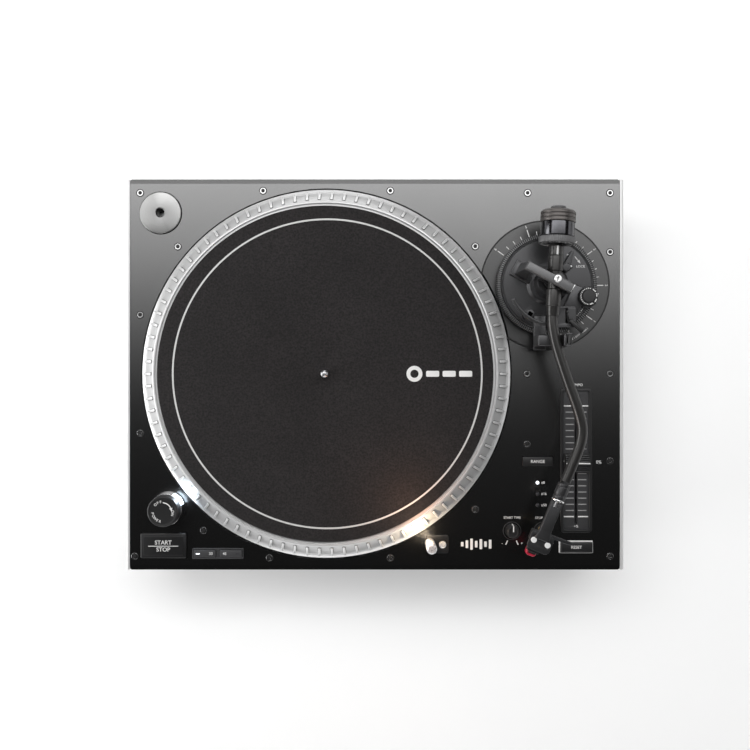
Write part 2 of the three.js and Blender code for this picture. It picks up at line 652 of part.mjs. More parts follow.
function addBaseControls(base) {
  const { radius } = ANTI_SKATE;
  part('anti_skate_knob', turned([
    [0, 110.6], [3, 110.6], [3, 113.3], [radius, 113.3], [radius - 0.4, 119.4],
    [radius - 1, 120], [0, 120],
  ], 20), MOULDED_BLACK, base).position.set(ANTI_SKATE.x, ANTI_SKATE.y, 0);
  const lock = frameAt(16, 14.5, 0, THREE.MathUtils.degToRad(-21), base);
  part('height_lock_lever', join(
    disc(4, ARM_PLATE_TOP + GAP, 115, 0, 0, 16),
    box(6, 15, 111.4, 114.6, 0, 8),
  ), MOULDED_BLACK, lock);
  part('cue_lever', cueLever(), SATIN_BLACK, frameAt(CUE_SLOT.x, -25.2, 112.3, 0, base));
  const clip = frameAt(ARM_REST.wall + 3.3, ARM_REST.y, 148, 0, base);
  const hook = new THREE.BoxGeometry(2.4, 6, 16).translate(0, 0, -8.5);
  part('arm_rest_clip', join(rod(1.8, 1.8, -4, 4, 16), solidOf(hook)), MOULDED_BLACK, clip);
}

function cueLever() {
  const hub = new THREE.CylinderGeometry(2.4, 2.4, 2.6, 16).rotateZ(Math.PI / 2);
  const stalk = new THREE.BoxGeometry(2.4, 9.4, 2.4).translate(0, -4.7, 0).rotateX(-0.4);
  const paddle = new THREE.BoxGeometry(16, 4.2, 2.4).rotateZ(-0.72).translate(6.9, -12.3, 4.5);
  return join(solidOf(hub), solidOf(stalk), solidOf(paddle));
}

// ---- tonearm --------------------------------------------------------------

const TUBE_ROUTE = [
  [152, 56], [151.7, 46], [152.6, 37.5], [155.2, 25], [159.6, 10.5], [166.5, -10],
  [172.4, -26.5], [176.4, -40.5], [177.3, -49.6], [175.9, -58], [172.7, -67.8], [163, -91.5],
];
const COLLAR = { x: 162.4, y: -93 }; // where the collar meets the tube

function sTube() {
  const points = TUBE_ROUTE.map(([x, y]) => new THREE.Vector3(x, y, PIVOT.z));
  const section = new THREE.Shape();
  section.absarc(0, 0, TUBE_RADIUS, 0, 2 * Math.PI);
  return solidOf(new THREE.ExtrudeGeometry(section, {
    extrudePath: new THREE.CatmullRomCurve3(points),
    steps: 32,
    curveSegments: 5,
  }));
}

function onArmLine(geometry) {
  return solidOf(geometry.rotateZ(ARM_LEAN).translate(PIVOT.x, PIVOT.y, PIVOT.z));
}

function armRod(front, rear, s0, s1, sides = 20) {
  const geometry = new THREE.CylinderGeometry(rear, front, s1 - s0, sides);
  return onArmLine(geometry.translate(0, (s0 + s1) / 2, 0));
}

function armTube() {
  const pins = new THREE.CylinderGeometry(1.5, 1.5, 17.2, 12).rotateZ(Math.PI / 2 + OFFSET_ANGLE);
  return join(
    sTube(),
    armRod(5, 6.3, -31, -22),
    armRod(6.3, 6.3, -22.1, -7.5),
    armRod(5.5, 5.5, -7.6, 7.6),
    armRod(6.4, 6.4, 7.5, 20.9),
    armRod(6, 6, 20.8, 29.5),
    armRod(5, 5, 29.4, 56),
    solidOf(pins.translate(PIVOT.x, PIVOT.y, PIVOT.z)),
  );
}

function addArm() {
  part('arm_tube', armTube(), SATIN_BLACK);
  const rear = frameAt(PIVOT.x, PIVOT.y, PIVOT.z, ARM_LEAN);
  const bush = turned([
    [5 + GAP, 33.5], [7.4, 33.5], [7.4, 59.4], [6.5, 59.6], [6.5, 63.3], [0, 63.3], [0, 59.4],
    [5 + GAP, 59.4],
  ].reverse(), 20);
  part('counterweight_bush', bush, STEEL, rear).rotation.x = -Math.PI / 2;
  const inner = 7.4 + GAP;
  const weight = turned([
    [inner, 37.2], [14.5, 37.2], [14.5, 49.2], [15, 49.6], [15, 58], [13.4, 59.8],
    [inner, 59.8],
  ], 32);
  part('counterweight', weight, GLOSS_BLACK, rear).rotation.x = -Math.PI / 2;
  const dial = turned([[inner, 31], [15.6, 31], [15.6, 36.8], [inner, 36.8]], 32);
  part('counterweight_dial', dial, MOULDED_BLACK, rear).rotation.x = -Math.PI / 2;
}

function addHead() {
  const head = frameAt(COLLAR.x, COLLAR.y, PIVOT.z, OFFSET_ANGLE);
  const collar = cut(rod(5.65, 5.65, -14.6, -0.6, 20), rod(3.4, 3.4, -16, 1, 12));
  part('headshell_collar', collar, SATIN_BLACK, head);
  part('headshell', headshell(), SATIN_BLACK, head);
  part('cartridge', cartridgeBody(), MOULDED_BLACK, head);
  part('stylus_assembly', stylus(), RED_PLASTIC, head);
}

function headshell() {
  const plug = rod(3, 3, -22, -1, 12);
  const arm = new THREE.BoxGeometry(10.2, 38, 5.4).translate(0, -34.2, -0.4);
  const plate = new THREE.BoxGeometry(20.5, 17, 2.4).translate(0, -54.6, -0.6);
  const lift = new THREE.BoxGeometry(22, 3.4, 1.4).translate(15.5, -46, -0.6);
  return join(plug, solidOf(arm), solidOf(plate), solidOf(lift));
}

function cartridgeBody() {
  const body = new THREE.BoxGeometry(16.5, 18.6, 13).translate(0, -56.3, -9.9);
  const nose = new THREE.BoxGeometry(9.4, 9, 9.4).translate(-2, -65.4, -12);
  return cut(solidOf(body), solidOf(nose));
}

function stylus() {
  const holder = new THREE.BoxGeometry(8.8, 8.4, 8).translate(-2, -65.4, -12);
  const lever = new THREE.BoxGeometry(1.2, 7, 1.2).translate(-2, -64.7, -16.4);
  const tip = new THREE.CylinderGeometry(0.9, 0.3, 2.6, 8).rotateX(Math.PI / 2);
  return join(solidOf(holder), solidOf(lever), solidOf(tip.translate(-2, -66.6, -18.1)));
}

addPlinth();
addFeet();
addDrive();
addTerminals();
addControls();
addArmBase();
addArm();
addHead();

export default turntable;
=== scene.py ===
"""The visible surfaces of a direct-drive record player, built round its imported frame.

Builders take millimetres in the deck's frame: +X right, +Y rear, +Z up.
"""
import json
from math import atan2, copysign, cos, degrees, pi, radians, sin

import bmesh
import bpy
from mathutils import Matrix, Vector


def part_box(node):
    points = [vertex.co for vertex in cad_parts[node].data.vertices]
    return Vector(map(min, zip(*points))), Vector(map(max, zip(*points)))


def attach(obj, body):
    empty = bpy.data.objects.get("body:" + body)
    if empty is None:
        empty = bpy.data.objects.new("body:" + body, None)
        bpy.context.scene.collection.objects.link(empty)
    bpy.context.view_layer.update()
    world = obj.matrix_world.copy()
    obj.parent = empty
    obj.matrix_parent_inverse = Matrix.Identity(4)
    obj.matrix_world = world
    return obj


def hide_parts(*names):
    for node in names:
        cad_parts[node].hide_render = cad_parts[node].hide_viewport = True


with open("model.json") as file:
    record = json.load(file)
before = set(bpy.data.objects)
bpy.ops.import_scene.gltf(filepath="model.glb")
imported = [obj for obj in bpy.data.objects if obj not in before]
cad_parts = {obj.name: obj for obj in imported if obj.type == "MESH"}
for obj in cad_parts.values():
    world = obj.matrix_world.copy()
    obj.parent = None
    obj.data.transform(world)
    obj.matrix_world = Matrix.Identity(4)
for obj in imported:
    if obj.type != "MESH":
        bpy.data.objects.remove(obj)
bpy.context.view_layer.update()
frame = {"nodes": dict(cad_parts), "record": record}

MM = 0.001

# ---- places, read from the frame -------------------------------------------


def low(node):
    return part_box(node)[0] / MM


def high(node):
    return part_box(node)[1] / MM


def middle(node):
    return (low(node) + high(node)) / 2


def half_width(node):
    return (high(node).x - low(node).x) / 2


def joint(name):
    return next(j for j in frame["record"]["behaviour"]["joints"] if j["name"] == name)


def joint_place(name):
    return Vector(joint(name)["pos_m"]) / MM


DECK = high("top_plate").z
PLATTER = middle("platter")
PLATTER_R = half_width("platter")
MAT_TOP = high("slip_mat").z
MAT_R = half_width("slip_mat")
PIVOT = joint_place("arm_pitch")
PIVOT_AT = (PIVOT.x, PIVOT.y)
BEARING = Vector(joint("arm_pitch")["axis"])
ARM_REAR = Vector(joint("weight_turn")["axis"])
HEAD_REAR = Vector(joint("collar_turn")["axis"])
COLLAR = joint_place("collar_turn")
ARM_PLATE_TOP = 110
BRIDGE_TURN = radians(-27.7)
CUE_SLOT = (17.2, -28.5)  # from the pivot
ARM_REST = -51
PLINTH = "plinth"
HOUSING_TOP = 113  # of the raised parts on the arm plate
PRINT = 0.06  # thickness of the print
MAT_RING = {"radius": 135.8, "width": 1.5, "shift": 1.9}  # printed a little to the right
# The adapter's darker line is painted into its colour: a painted reflection on the brushed metal.
PAINTED_STREAK_TURN = radians(115)  # direction of the adapter's darker line

# ---- camera ------------------------------------------------------------------

CAMERA_HEIGHT = 790  # above the deck
VIEW_WIDTH = 677.7  # of the deck plane, across the picture
SENSOR = 36


def add_object(name, data):
    obj = bpy.data.objects.new(name, data)
    bpy.context.scene.collection.objects.link(obj)
    return obj


def add_camera():
    data = bpy.data.cameras.new("camera")
    data.sensor_width = SENSOR
    data.lens = SENSOR * CAMERA_HEIGHT / VIEW_WIDTH
    data.clip_start = 0.01
    data.clip_end = 50
    camera = add_object("camera", data)
    camera.location = Vector((0.14, -0.45, DECK + CAMERA_HEIGHT)) * MM
    bpy.context.scene.camera = camera


# ---- mesh builders -----------------------------------------------------------


def mesh_object(name, verts, faces, sharp=35):
    mesh = bpy.data.meshes.new(name)
    mesh.from_pydata([Vector(v) * MM for v in verts], [], faces)
    obj = add_object(name, mesh)
    tidy_mesh(obj, sharp)
    return obj


def tidy_mesh(obj, sharp=35):
    bm = bmesh.new()
    bm.from_mesh(obj.data)
    bmesh.ops.remove_doubles(bm, verts=bm.verts, dist=1e-6)
    bmesh.ops.recalc_face_normals(bm, faces=bm.faces)
    bm.to_mesh(obj.data)
    bm.free()
    obj.data.polygons.foreach_set("use_smooth", [True] * len(obj.data.polygons))
    obj.data.set_sharp_from_angle(angle=radians(sharp))
    obj.data.update()


def rounded(points, radius, closed=False, steps=3):
    """The same outline with each corner turned on a small curve."""
    result = []
    count = len(points)
    for i, point in enumerate(points):
        here = Vector(point)
        if not closed and i in (0, count - 1):
            result.append(tuple(here))
            continue
        before = Vector(points[i - 1])
        after = Vector(points[(i + 1) % count])
        back = min(radius, (before - here).length * 0.45)
        ahead = min(radius, (after - here).length * 0.45)
        start = here + (before - here).normalized() * back
        end = here + (after - here).normalized() * ahead
        for k in range(steps + 1):
            t = k / steps
            result.append(tuple(start * (1 - t) ** 2 + here * 2 * t * (1 - t) + end * t ** 2))
    return result


def lathe(name, profile, at=(0, 0), sides=96, soft=0.0, wave=None):
    """Turns (radius, height) points about Z. wave(angle, radius, height) shifts the radius."""
    closed = profile[0][0] > 0
    points = rounded(profile, soft, closed) if soft else profile
    verts, rows = [], []
    for r, z in points:
        if r <= 1e-6:
            rows.append([len(verts)])
            verts.append((at[0], at[1], z))
            continue
        row = []
        for i in range(sides):
            a = 2 * pi * i / sides
            rr = r + (wave(a, r, z) if wave else 0)
            row.append(len(verts))
            verts.append((at[0] + rr * cos(a), at[1] + rr * sin(a), z))
        rows.append(row)
    if closed:
        rows.append(rows[0])
    faces = []
    for one, two in zip(rows, rows[1:]):
        for i in range(sides):
            j = (i + 1) % sides
            if len(one) == 1 and len(two) == 1:
                break
            if len(one) == 1:
                faces.append((one[0], two[i], two[j]))
            elif len(two) == 1:
                faces.append((one[i], one[j], two[0]))
            else:
                faces.append((one[i], one[j], two[j], two[i]))
    return mesh_object(name, verts, faces)


def skin(rows, count):
    """Faces of a closed skin over rows of count points each."""
    faces = []
    for row in range(rows - 1):
        for k in range(count):
            one, two = row * count + k, row * count + (k + 1) % count
            faces.append((one, two, two + count, one + count))
    last = (rows - 1) * count
    return faces + [tuple(range(last, last + count)), tuple(reversed(range(count)))]


def aim(obj, origin, direction):
    """Moves a mesh built along Z so that Z runs along direction from origin."""
    spin = Vector(direction).to_track_quat("Z", "Y").to_matrix().to_4x4()
    obj.data.transform(Matrix.Translation(Vector(origin) * MM) @ spin)
    obj.data.update()
    return obj


def move(obj, x=0, y=0, z=0, turn=0.0):
    obj.data.transform(Matrix.Translation(Vector((x, y, z)) * MM) @ Matrix.Rotation(turn, 4, "Z"))
    obj.data.update()
    return obj


def block(name, size, at, turn=0.0, soft=0.5):
    """A box with rounded edges, standing on at and turned about its own middle."""
    bm = bmesh.new()
    bmesh.ops.create_cube(bm, size=1)
    bmesh.ops.scale(bm, vec=Vector(size) * MM, verts=bm.verts)
    bmesh.ops.bevel(bm, geom=bm.edges[:], offset=soft * MM, segments=3, affect="EDGES",
                    profile=0.5)
    mesh = bpy.data.meshes.new(name)
    bm.to_mesh(mesh)
    bm.free()
    obj = add_object(name, mesh)
    tidy_mesh(obj, 60)
    return move(obj, at[0], at[1], at[2] + size[2] / 2, turn)


def prism(name, outline, z0, z1, holes=(), soft=0.3):
    """A plate with rounded edges from a flat outline and its holes."""
    curve = bpy.data.curves.new(name, "CURVE")
    curve.dimensions = "2D"
    curve.fill_mode = "BOTH"
    for loop in (outline, *holes):
        spline = curve.splines.new("POLY")
        spline.points.add(len(loop) - 1)
        for point, (x, y) in zip(spline.points, loop):
            point.co = (x * MM, y * MM, 0, 1)
        spline.use_cyclic_u = True
    half = (z1 - z0) / 2
    soft = min(soft, half * 0.9)
    curve.bevel_depth = soft * MM
    curve.bevel_resolution = 2
    curve.offset = -soft * MM
    curve.extrude = (half - soft) * MM
    obj = as_mesh(name, curve)
    return move(obj, z=(z0 + z1) / 2)


def as_mesh(name, curve):
    """Turns a curve or a text into a mesh object."""
    source = add_object(name + "_curve", curve)
    graph = bpy.context.evaluated_depsgraph_get()
    mesh = bpy.data.meshes.new_from_object(source.evaluated_get(graph))
    bpy.data.objects.remove(source)
    bpy.data.curves.remove(curve)
    mesh.name = name
    obj = add_object(name, mesh)
    tidy_mesh(obj)
    return obj


def sweep(name, points, radius, sides):
    """A round tube along a smooth curve through the points, with closed ends."""
    route = smooth_route([Vector(p) for p in points], 12)
    verts = []
    for i, here in enumerate(route):
        ahead = route[min(i + 1, len(route) - 1)] - route[max(i - 1, 0)]
        side = ahead.cross(Vector((0, 0, 1))).normalized()
        up = side.cross(ahead).normalized()
        for k in range(sides):
            a = 2 * pi * k / sides
            verts.append(here + side * radius * cos(a) + up * radius * sin(a))
    return mesh_object(name, verts, skin(len(route), sides), 50)


def smooth_route(points, steps):
    """Catmull-Rom points through a list of places."""
    ends = [points[0] * 2 - points[1], *points, points[-1] * 2 - points[-2]]
    route = []
    for a, b, c, d in zip(ends, ends[1:], ends[2:], ends[3:]):
        for k in range(steps):
            t = k / steps
            route.append(0.5 * (2 * b + (c - a) * t + (2 * a - 5 * b + 4 * c - d) * t * t
                                + (3 * b - a - 3 * c + d) * t ** 3))
    route.append(points[-1])
    return route


def circle(radius, at=(0, 0), count=64, start=0.0, end=2 * pi, full=True):
    steps = count if full else count - 1
    return [(at[0] + radius * cos(start + (end - start) * i / steps),
             at[1] + radius * sin(start + (end - start) * i / steps)) for i in range(count)]


def rectangle(width, depth, at=(0, 0), corner=0.0, turn=0.0):
    w, d = width / 2, depth / 2
    loop = [(w, d), (-w, d), (-w, -d), (w, -d)]
    if corner:
        loop = rounded(loop, corner, closed=True, steps=5)
    c, s = cos(turn), sin(turn)
    return [(at[0] + x * c - y * s, at[1] + x * s + y * c) for x, y in loop]


def footprint(node, grow=0.0, corner=0.0):
    """A node's outline from above, made wider and deeper by grow."""
    lo, hi = low(node), high(node)
    at = ((lo.x + hi.x) / 2, (lo.y + hi.y) / 2)
    return rectangle(hi.x - lo.x + grow, hi.y - lo.y + grow, at, corner)


def node_block(name, node, soft):
    """A block with rounded edges that fills a node's box."""
    lo, hi = low(node), high(node)
    return block(name, tuple(hi - lo), ((lo.x + hi.x) / 2, (lo.y + hi.y) / 2, lo.z), soft=soft)


def band(name, inner, outer, start, end, z0, z1, at=(0, 0), soft=0.2, count=24):
    """Part of a flat ring, between two angles in degrees."""
    a, b = radians(start), radians(end)
    loop = circle(outer, at, count, a, b, False) + circle(inner, at, count, b, a, False)
    return prism(name, loop, z0, z1, soft=soft)


def joined(name, objs):
    """One object holding several meshes, each keeping its own material."""
    bm = bmesh.new()
    materials = []
    for obj in objs:
        first = len(bm.faces)
        bm.from_mesh(obj.data)
        bm.faces.ensure_lookup_table()
        shift = []
        for material in obj.data.materials:
            if material not in materials:
                materials.append(material)
            shift.append(materials.index(material))
        for face in bm.faces[first:]:
            face.material_index = shift[face.material_index] if shift else 0
    mesh = bpy.data.meshes.new(name)
    bm.to_mesh(mesh)
    bm.free()
    for material in materials:
        mesh.materials.append(material)
    for obj in objs:
        bpy.data.objects.remove(obj)
    whole = add_object(name, mesh)
    mesh.polygons.foreach_set("use_smooth", [True] * len(mesh.polygons))
    mesh.set_sharp_from_angle(angle=radians(40))
    return whole


def text(words, at, size, turn=0.0, z=DECK, align="CENTER"):
    """Printed words."""
    curve = bpy.data.curves.new("print_" + str(len(bpy.data.curves)), "FONT")
    curve.body = words
    curve.size = size * MM
    curve.align_x = align
    curve.align_y = "CENTER"
    curve.extrude = PRINT / 2 * MM
    curve.offset = size * 0.012 * MM
    curve.resolution_u = 3
    obj = paint(as_mesh(curve.name, curve), "print_white")
    return move(obj, at[0], at[1], z + PRINT / 2, turn)


def line(start, end, width, z=DECK, thick=PRINT, finish="print_white"):
    """A printed line."""
    a, b = Vector(start), Vector(end)
    at = (a + b) / 2
    turn = atan2(b.y - a.y, b.x - a.x)
    obj = prism("line", rectangle((b - a).length, width, turn=turn), 0, thick, soft=0.01)
    return paint(move(obj, at.x, at.y, z), finish)


def dot(at, radius, z, sides, thick=PRINT, soft=0.01):
    return paint(prism("dot", circle(radius, at, sides), z, z + thick, soft=soft), "print_white")


def arc_text(words, centre, radius, angle, size, z, outward=True):
    """Letters set round a circle, with angle in degrees at the middle of the word."""
    step = size * 0.8 / radius
    letters = []
    for i, letter in enumerate(words):
        offset = (i - (len(words) - 1) / 2) * step * (-1 if outward else 1)
        a = radians(angle) + offset
        at = (centre[0] + radius * cos(a), centre[1] + radius * sin(a))
        turn = a - pi / 2 if outward else a + pi / 2
        letters.append(text(letter, at, size, turn, z))
    return letters


# ---- materials ---------------------------------------------------------------

MATERIALS = {}  # by name, once made


def feed(node, inputs):
    """Links each input to a socket, or sets it to a value."""
    for key, value in inputs.items():
        if isinstance(value, bpy.types.NodeSocket):
            node.id_data.links.new(value, node.inputs[key])
        else:
            node.inputs[key].default_value = value
    return node


def add_node(tree, kind, inputs, **settings):
    node = tree.nodes.new("ShaderNode" + kind)
    for name, value in settings.items():
        setattr(node, name, value)
    return feed(node, inputs)


def material(name, color, rough, metal=0.0, grain=900.0, bump=0.05, vary=0.1, shade=0.12,
             stretch=(1, 1, 1), turned=None, edge_highlight=0.0, coat=0.0, sheen=0.0, glow=None):
    """A finish with fine grain in its colour, roughness and surface.

    grain is in waves per metre, stretch flattens it into brush marks, and turned is the
    centre that lathe marks run round.
    """
    color = (color,) * 3 if isinstance(color, float) else color
    mat = bpy.data.materials.new(name)
    mat.use_nodes = True
    tree = mat.node_tree
    place = add_node(tree, "TexCoord", {}).outputs["Object"]
    vector = place if turned is None else lathe_marks(tree, place, turned)
    spread = add_node(tree, "Mapping", {"Scale": stretch, "Vector": vector}).outputs["Vector"]
    fine = noise(tree, spread, grain, 6)
    broad = noise(tree, place, 18, 3)
    tone = mixed(tree, ramp(tree, fine, color, shade), ramp(tree, broad, (1, 1, 1), shade), 0.35,
                 "MULTIPLY")
    # Lightens the convex edges by this much: a painted highlight.
    if edge_highlight:
        tone = lighter_edges_painted(tree, tone, color, edge_highlight)
    gloss = add_node(tree, "MapRange", {"Value": fine, "To Min": max(rough - vary, 0.03),
                                        "To Max": min(rough + vary, 1)})
    relief = add_node(tree, "Bump", {"Strength": bump, "Distance": 0.0002, "Height": fine})
    shader = feed(tree.nodes["Principled BSDF"], {
        "Metallic": metal, "Coat Weight": coat, "Coat Roughness": 0.12, "Sheen Weight": sheen,
        "Base Color": tone, "Roughness": gloss.outputs["Result"], "Normal": relief.outputs["Normal"],
    })
    if glow:
        feed(shader, {"Emission Color": (*glow[:3], 1), "Emission Strength": glow[3]})
    MATERIALS[name] = mat
    return mat


def noise(tree, vector, scale, detail):
    texture = add_node(tree, "TexNoise", {"Scale": scale, "Detail": detail, "Vector": vector})
    return texture.outputs["Fac"]


def ramp(tree, value, color, shade):
    """Two tones round a colour, one darker and one lighter."""
    tones = add_node(tree, "ValToRGB", {"Fac": value})
    for element, position, change in zip(tones.color_ramp.elements, (0.3, 0.7), (-shade, shade)):
        element.position = position
        element.color = (*[min(c * (1 + change), 1) for c in color], 1)
    return tones.outputs["Color"]


def mixed(tree, one, other, factor, blend="MIX"):
    inputs = {"A": one, "B": other, "Factor": factor}
    return add_node(tree, "Mix", inputs, data_type="RGBA", blend_type=blend).outputs["Result"]


def lighter_edges_painted(tree, tone, color, edge_highlight):
    """Lightens the convex edges a little: a painted highlight along them."""
    pointed = add_node(tree, "NewGeometry", {}).outputs["Pointiness"]
    edge = add_node(tree, "MapRange", {"Value": pointed, "From Min": 0.52, "From Max": 0.62,
                                       "To Max": edge_highlight})
    lit_edge_tone = (*[min(c * 3 + 0.05, 1) for c in color], 1)
    return mixed(tree, tone, lit_edge_tone, edge.outputs["Result"])


def from_axis(tree, vector, centre):
    away = {0: vector, 1: Vector((centre[0], centre[1], 0)) * MM}
    return add_node(tree, "VectorMath", away, operation="SUBTRACT").outputs["Vector"]


def lathe_marks(tree, vector, centre):
    """Radius and height from the axis, so that noise runs in rings round it."""
    parts = add_node(tree, "SeparateXYZ", {"Vector": from_axis(tree, vector, centre)}).outputs
    flat = add_node(tree, "CombineXYZ", {"X": parts["X"], "Y": parts["Y"]}).outputs["Vector"]
    length = add_node(tree, "VectorMath", {0: flat}, operation="LENGTH").outputs["Value"]
    return add_node(tree, "CombineXYZ", {"X": length, "Z": parts["Z"]}).outputs["Vector"]


# colour, roughness, metal, grain, bump, variation in roughness and in colour
FINISHES = {
    "deck_black": (0.125, 0.22, 1, 1500, 0.03, 0.05, 0.1),
    "mount_black": (0.075, 0.3, 1, 1500, 0.03, 0.05, 0.1),
    "tube_black": ((0.045, 0.044, 0.043), 0.3, 0.6, 1800, 0.05, 0.05, 0.12),
    "gloss_black": ((0.07, 0.07, 0.075), 0.16, 1, 700, 0.02, 0.04, 0.1),
    "weight_band": ((0.1, 0.092, 0.088), 0.4, 0.8, 1500, 0.05, 0.06, 0.15),
    "rubber": (0.01, 0.8, 0, 1600, 0.4, 0.1, 0.3),
    # The bars' two finishes: a painted highlight on the bars and a painted shadow round them.
    "bar_painted_highlight": (0.85, 0.3, 0.3, 2600, 0.03, 0.05, 0.05),
    "bar_painted_shadow": (0.2, 0.5, 0.3, 2600, 0.05, 0.05, 0.08),
    "chrome": (0.9, 0.1, 1, 400, 0.01, 0.03, 0.04),
    "lamp_silver": (0.85, 0.28, 0.55, 900, 0.02, 0.05, 0.04),
    "screw_steel": (0.42, 0.16, 1, 2500, 0.03, 0.05, 0.08),
    # Near-black: painted shade in sockets, slots, grooves and gaps, and painted shadows round parts.
    "painted_shade_black": (0.003, 0.6, 0, 2000, 0.1, 0.1, 0.2),
    "print_white": ((0.8, 0.8, 0.79), 0.55, 0, 3000, 0.05, 0.08, 0.04),
    "print_grey": (0.36, 0.55, 0, 3000, 0.05, 0.08, 0.05),
    "white_plastic": ((0.8, 0.8, 0.78), 0.4, 0, 900, 0.05, 0.08, 0.05),
    "ferrite": ((0.05, 0.05, 0.055), 0.7, 0.3, 1500, 0.2, 0.1, 0.2),
    "board": ((0.02, 0.13, 0.05), 0.45, 0, 1200, 0.1, 0.1, 0.25),
    "brass": ((0.75, 0.55, 0.25), 0.22, 1, 1500, 0.05, 0.06, 0.1),
    "led_off": ((0.05, 0.05, 0.055), 0.25, 0, 500, 0.02, 0.05, 0.1),
}


def add_materials():
    for name, finish in FINISHES.items():
        material(name, *finish)
    material("arm_black", (0.05, 0.05, 0.052), 0.36, 0.6, 1800, 0.06, 0.06, 0.15, edge_highlight=0.25)
    material("bridge_grey", (0.11, 0.11, 0.112), 0.42, 0.5, 1800, 0.06, 0.06, 0.12, edge_highlight=0.35)
    material("moulded_black", (0.007, 0.007, 0.0075), 0.45, 0, 2400, 0.2, 0.1, 0.2, edge_highlight=0.05)
    material("key_black", (0.006, 0.006, 0.0065), 0.42, 0, 1500, 0.1, 0.08, 0.15, edge_highlight=0.12)
    material("grey_plastic", (0.032, 0.032, 0.034), 0.5, 0, 2200, 0.15, 0.08, 0.15, edge_highlight=0.1)
    material("silver_trim", (0.72, 0.72, 0.72), 0.42, 0.25, 900, 0.05, 0.06, 0.06,
             stretch=(1, 0.03, 1))
    centre = (PLATTER.x, PLATTER.y)
    material("platter_metal", (0.68, 0.68, 0.68), 0.34, 0.35, 2600, 0.05, 0.06, 0.06, turned=centre)
    adapter = middle("adapter_45")
    brushed = material("adapter_metal", (0.5, 0.5, 0.495), 0.3, 1, 3500, 0.06, 0.06, 0.08,
                       turned=(adapter.x, adapter.y))
    add_brushing_and_painted_streak(brushed, adapter)
    material("steel", (0.5, 0.5, 0.51), 0.32, 1, 1500, 0.08, 0.08, 0.12, stretch=(1, 1, 0.1))
    material("red_plastic", (0.5, 0.02, 0.05), 0.3, 0, 900, 0.05, 0.06, 0.15, coat=0.4)
    material("copper", (0.6, 0.23, 0.1), 0.3, 1, 1200, 0.1, 0.08, 0.2, stretch=(0.1, 1, 1))
    material("led_white", (0.9, 0.95, 1), 0.4, 0, 500, 0.02, 0.05, 0.02, glow=(0.9, 0.95, 1, 2))
    material("lamp_glow", (1, 0.9, 0.75), 0.4, 0, 500, 0.02, 0.05, 0.02, glow=(1, 0.8, 0.55, 6))
    material("strobe_glow", (0.9, 0.95, 1), 0.3, 0, 500, 0.02, 0.05, 0.02, glow=(0.75, 0.87, 1, 3))
    material("floor", (0.95, 0.95, 0.95), 0.8, 0, 60, 0.02, 0.1, 0.01, glow=(1, 1, 1, 0.22))
    add_felt()


def add_brushing_and_painted_streak(mat, centre):
    """Brush marks that run round the centre, and one darker line across it painted into the colour: a
    painted reflection.
    """
    tree = mat.node_tree
    shader = tree.nodes["Principled BSDF"]
    radial = from_axis(tree, add_node(tree, "TexCoord", {}).outputs["Object"], centre)
    tangent = add_node(tree, "VectorMath", {0: radial, 1: (0, 0, 1)}, operation="CROSS_PRODUCT")
    unit = add_node(tree, "VectorMath", {0: radial}, operation="NORMALIZE").outputs["Vector"]
    across = (sin(PAINTED_STREAK_TURN), -cos(PAINTED_STREAK_TURN), 0)
    side = add_node(tree, "VectorMath", {0: unit, 1: across}, operation="DOT_PRODUCT")
    size = add_node(tree, "Math", {0: side.outputs["Value"]}, operation="ABSOLUTE").outputs["Value"]
    painted_streak = add_node(tree, "MapRange", {"Value": size, "From Max": 0.4, "To Min": 0.38})
    brushed = shader.inputs["Base Color"].links[0].from_socket
    feed(shader, {"Anisotropic": 0.85, "Tangent": tangent.outputs["Vector"],
                  "Base Color": mixed(tree, brushed, painted_streak.outputs["Result"], 1, "MULTIPLY")})


def add_felt():
    """Pressed felt with one printed ring near its edge."""
    mat = material("felt", (0.014, 0.0118, 0.0122), 0.95, 0, 620, 0.9, 0.04, 0.8, sheen=0.08)
    tree = mat.node_tree
    shader = tree.nodes["Principled BSDF"]
    place = add_node(tree, "TexCoord", {}).outputs["Object"]
    rings = lathe_marks(tree, place, (PLATTER.x + MAT_RING["shift"], PLATTER.y))
    radius = add_node(tree, "SeparateXYZ", {"Vector": rings}).outputs["X"]
    on_ring = {0: radius, 1: MAT_RING["radius"] * MM, 2: MAT_RING["width"] / 2 * MM}
    ring = add_node(tree, "Math", on_ring, operation="COMPARE").outputs["Value"]
    felt = shader.inputs["Base Color"].links[0].from_socket
    feed(shader, {"Base Color": mixed(tree, felt, (0.62, 0.62, 0.61, 1), ring)})


def paint(obj, name):
    obj.data.materials.clear()
    obj.data.materials.append(MATERIALS[name])
    return obj


def paint_all(name, *objs):
    return [paint(obj, name) for obj in objs]


def place(obj, body, slot, *nodes):
    """Finishes a piece: it rides on a body and may stand for CAD nodes, which are hidden. slot is not
    used.
    """
    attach(obj, body)
    if nodes:
        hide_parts(*nodes)
    return obj


def piece(name, body, slot, objs, *nodes):
    return place(joined(name, objs), body, slot, *nodes)


# ---- kept CAD nodes ----------------------------------------------------------

# finish and rounding of the edges
KEPT = {
    "base_tub": ("rubber", 0.8), "upper_chassis": ("deck_black", 0.3),
    "top_plate": ("deck_black", 0.2), "side_trim_left": ("silver_trim", 0.5),
    "side_trim_right": ("silver_trim", 0.5), "rotor_magnet": ("ferrite", 0.3),
    "motor_stator": ("copper", 0.3), "bearing_housing": ("steel", 0.3),
    "main_board": ("board", 0.2), "power_transformer": ("steel", 0.6),
    "terminal_panel": ("moulded_black", 0.2), "phono_jack_left": ("brass", 0.2),
    "phono_jack_right": ("brass", 0.2), "ground_nut": ("brass", 0.3),
    "phono_line_switch": ("white_plastic", 0.3), "power_inlet": ("moulded_black", 0.3),
    "fader_track": ("steel", 0.3), "tonearm_mount_plate": ("mount_black", 0.15),
    "gimbal_ring": ("arm_black", 0.4),
}


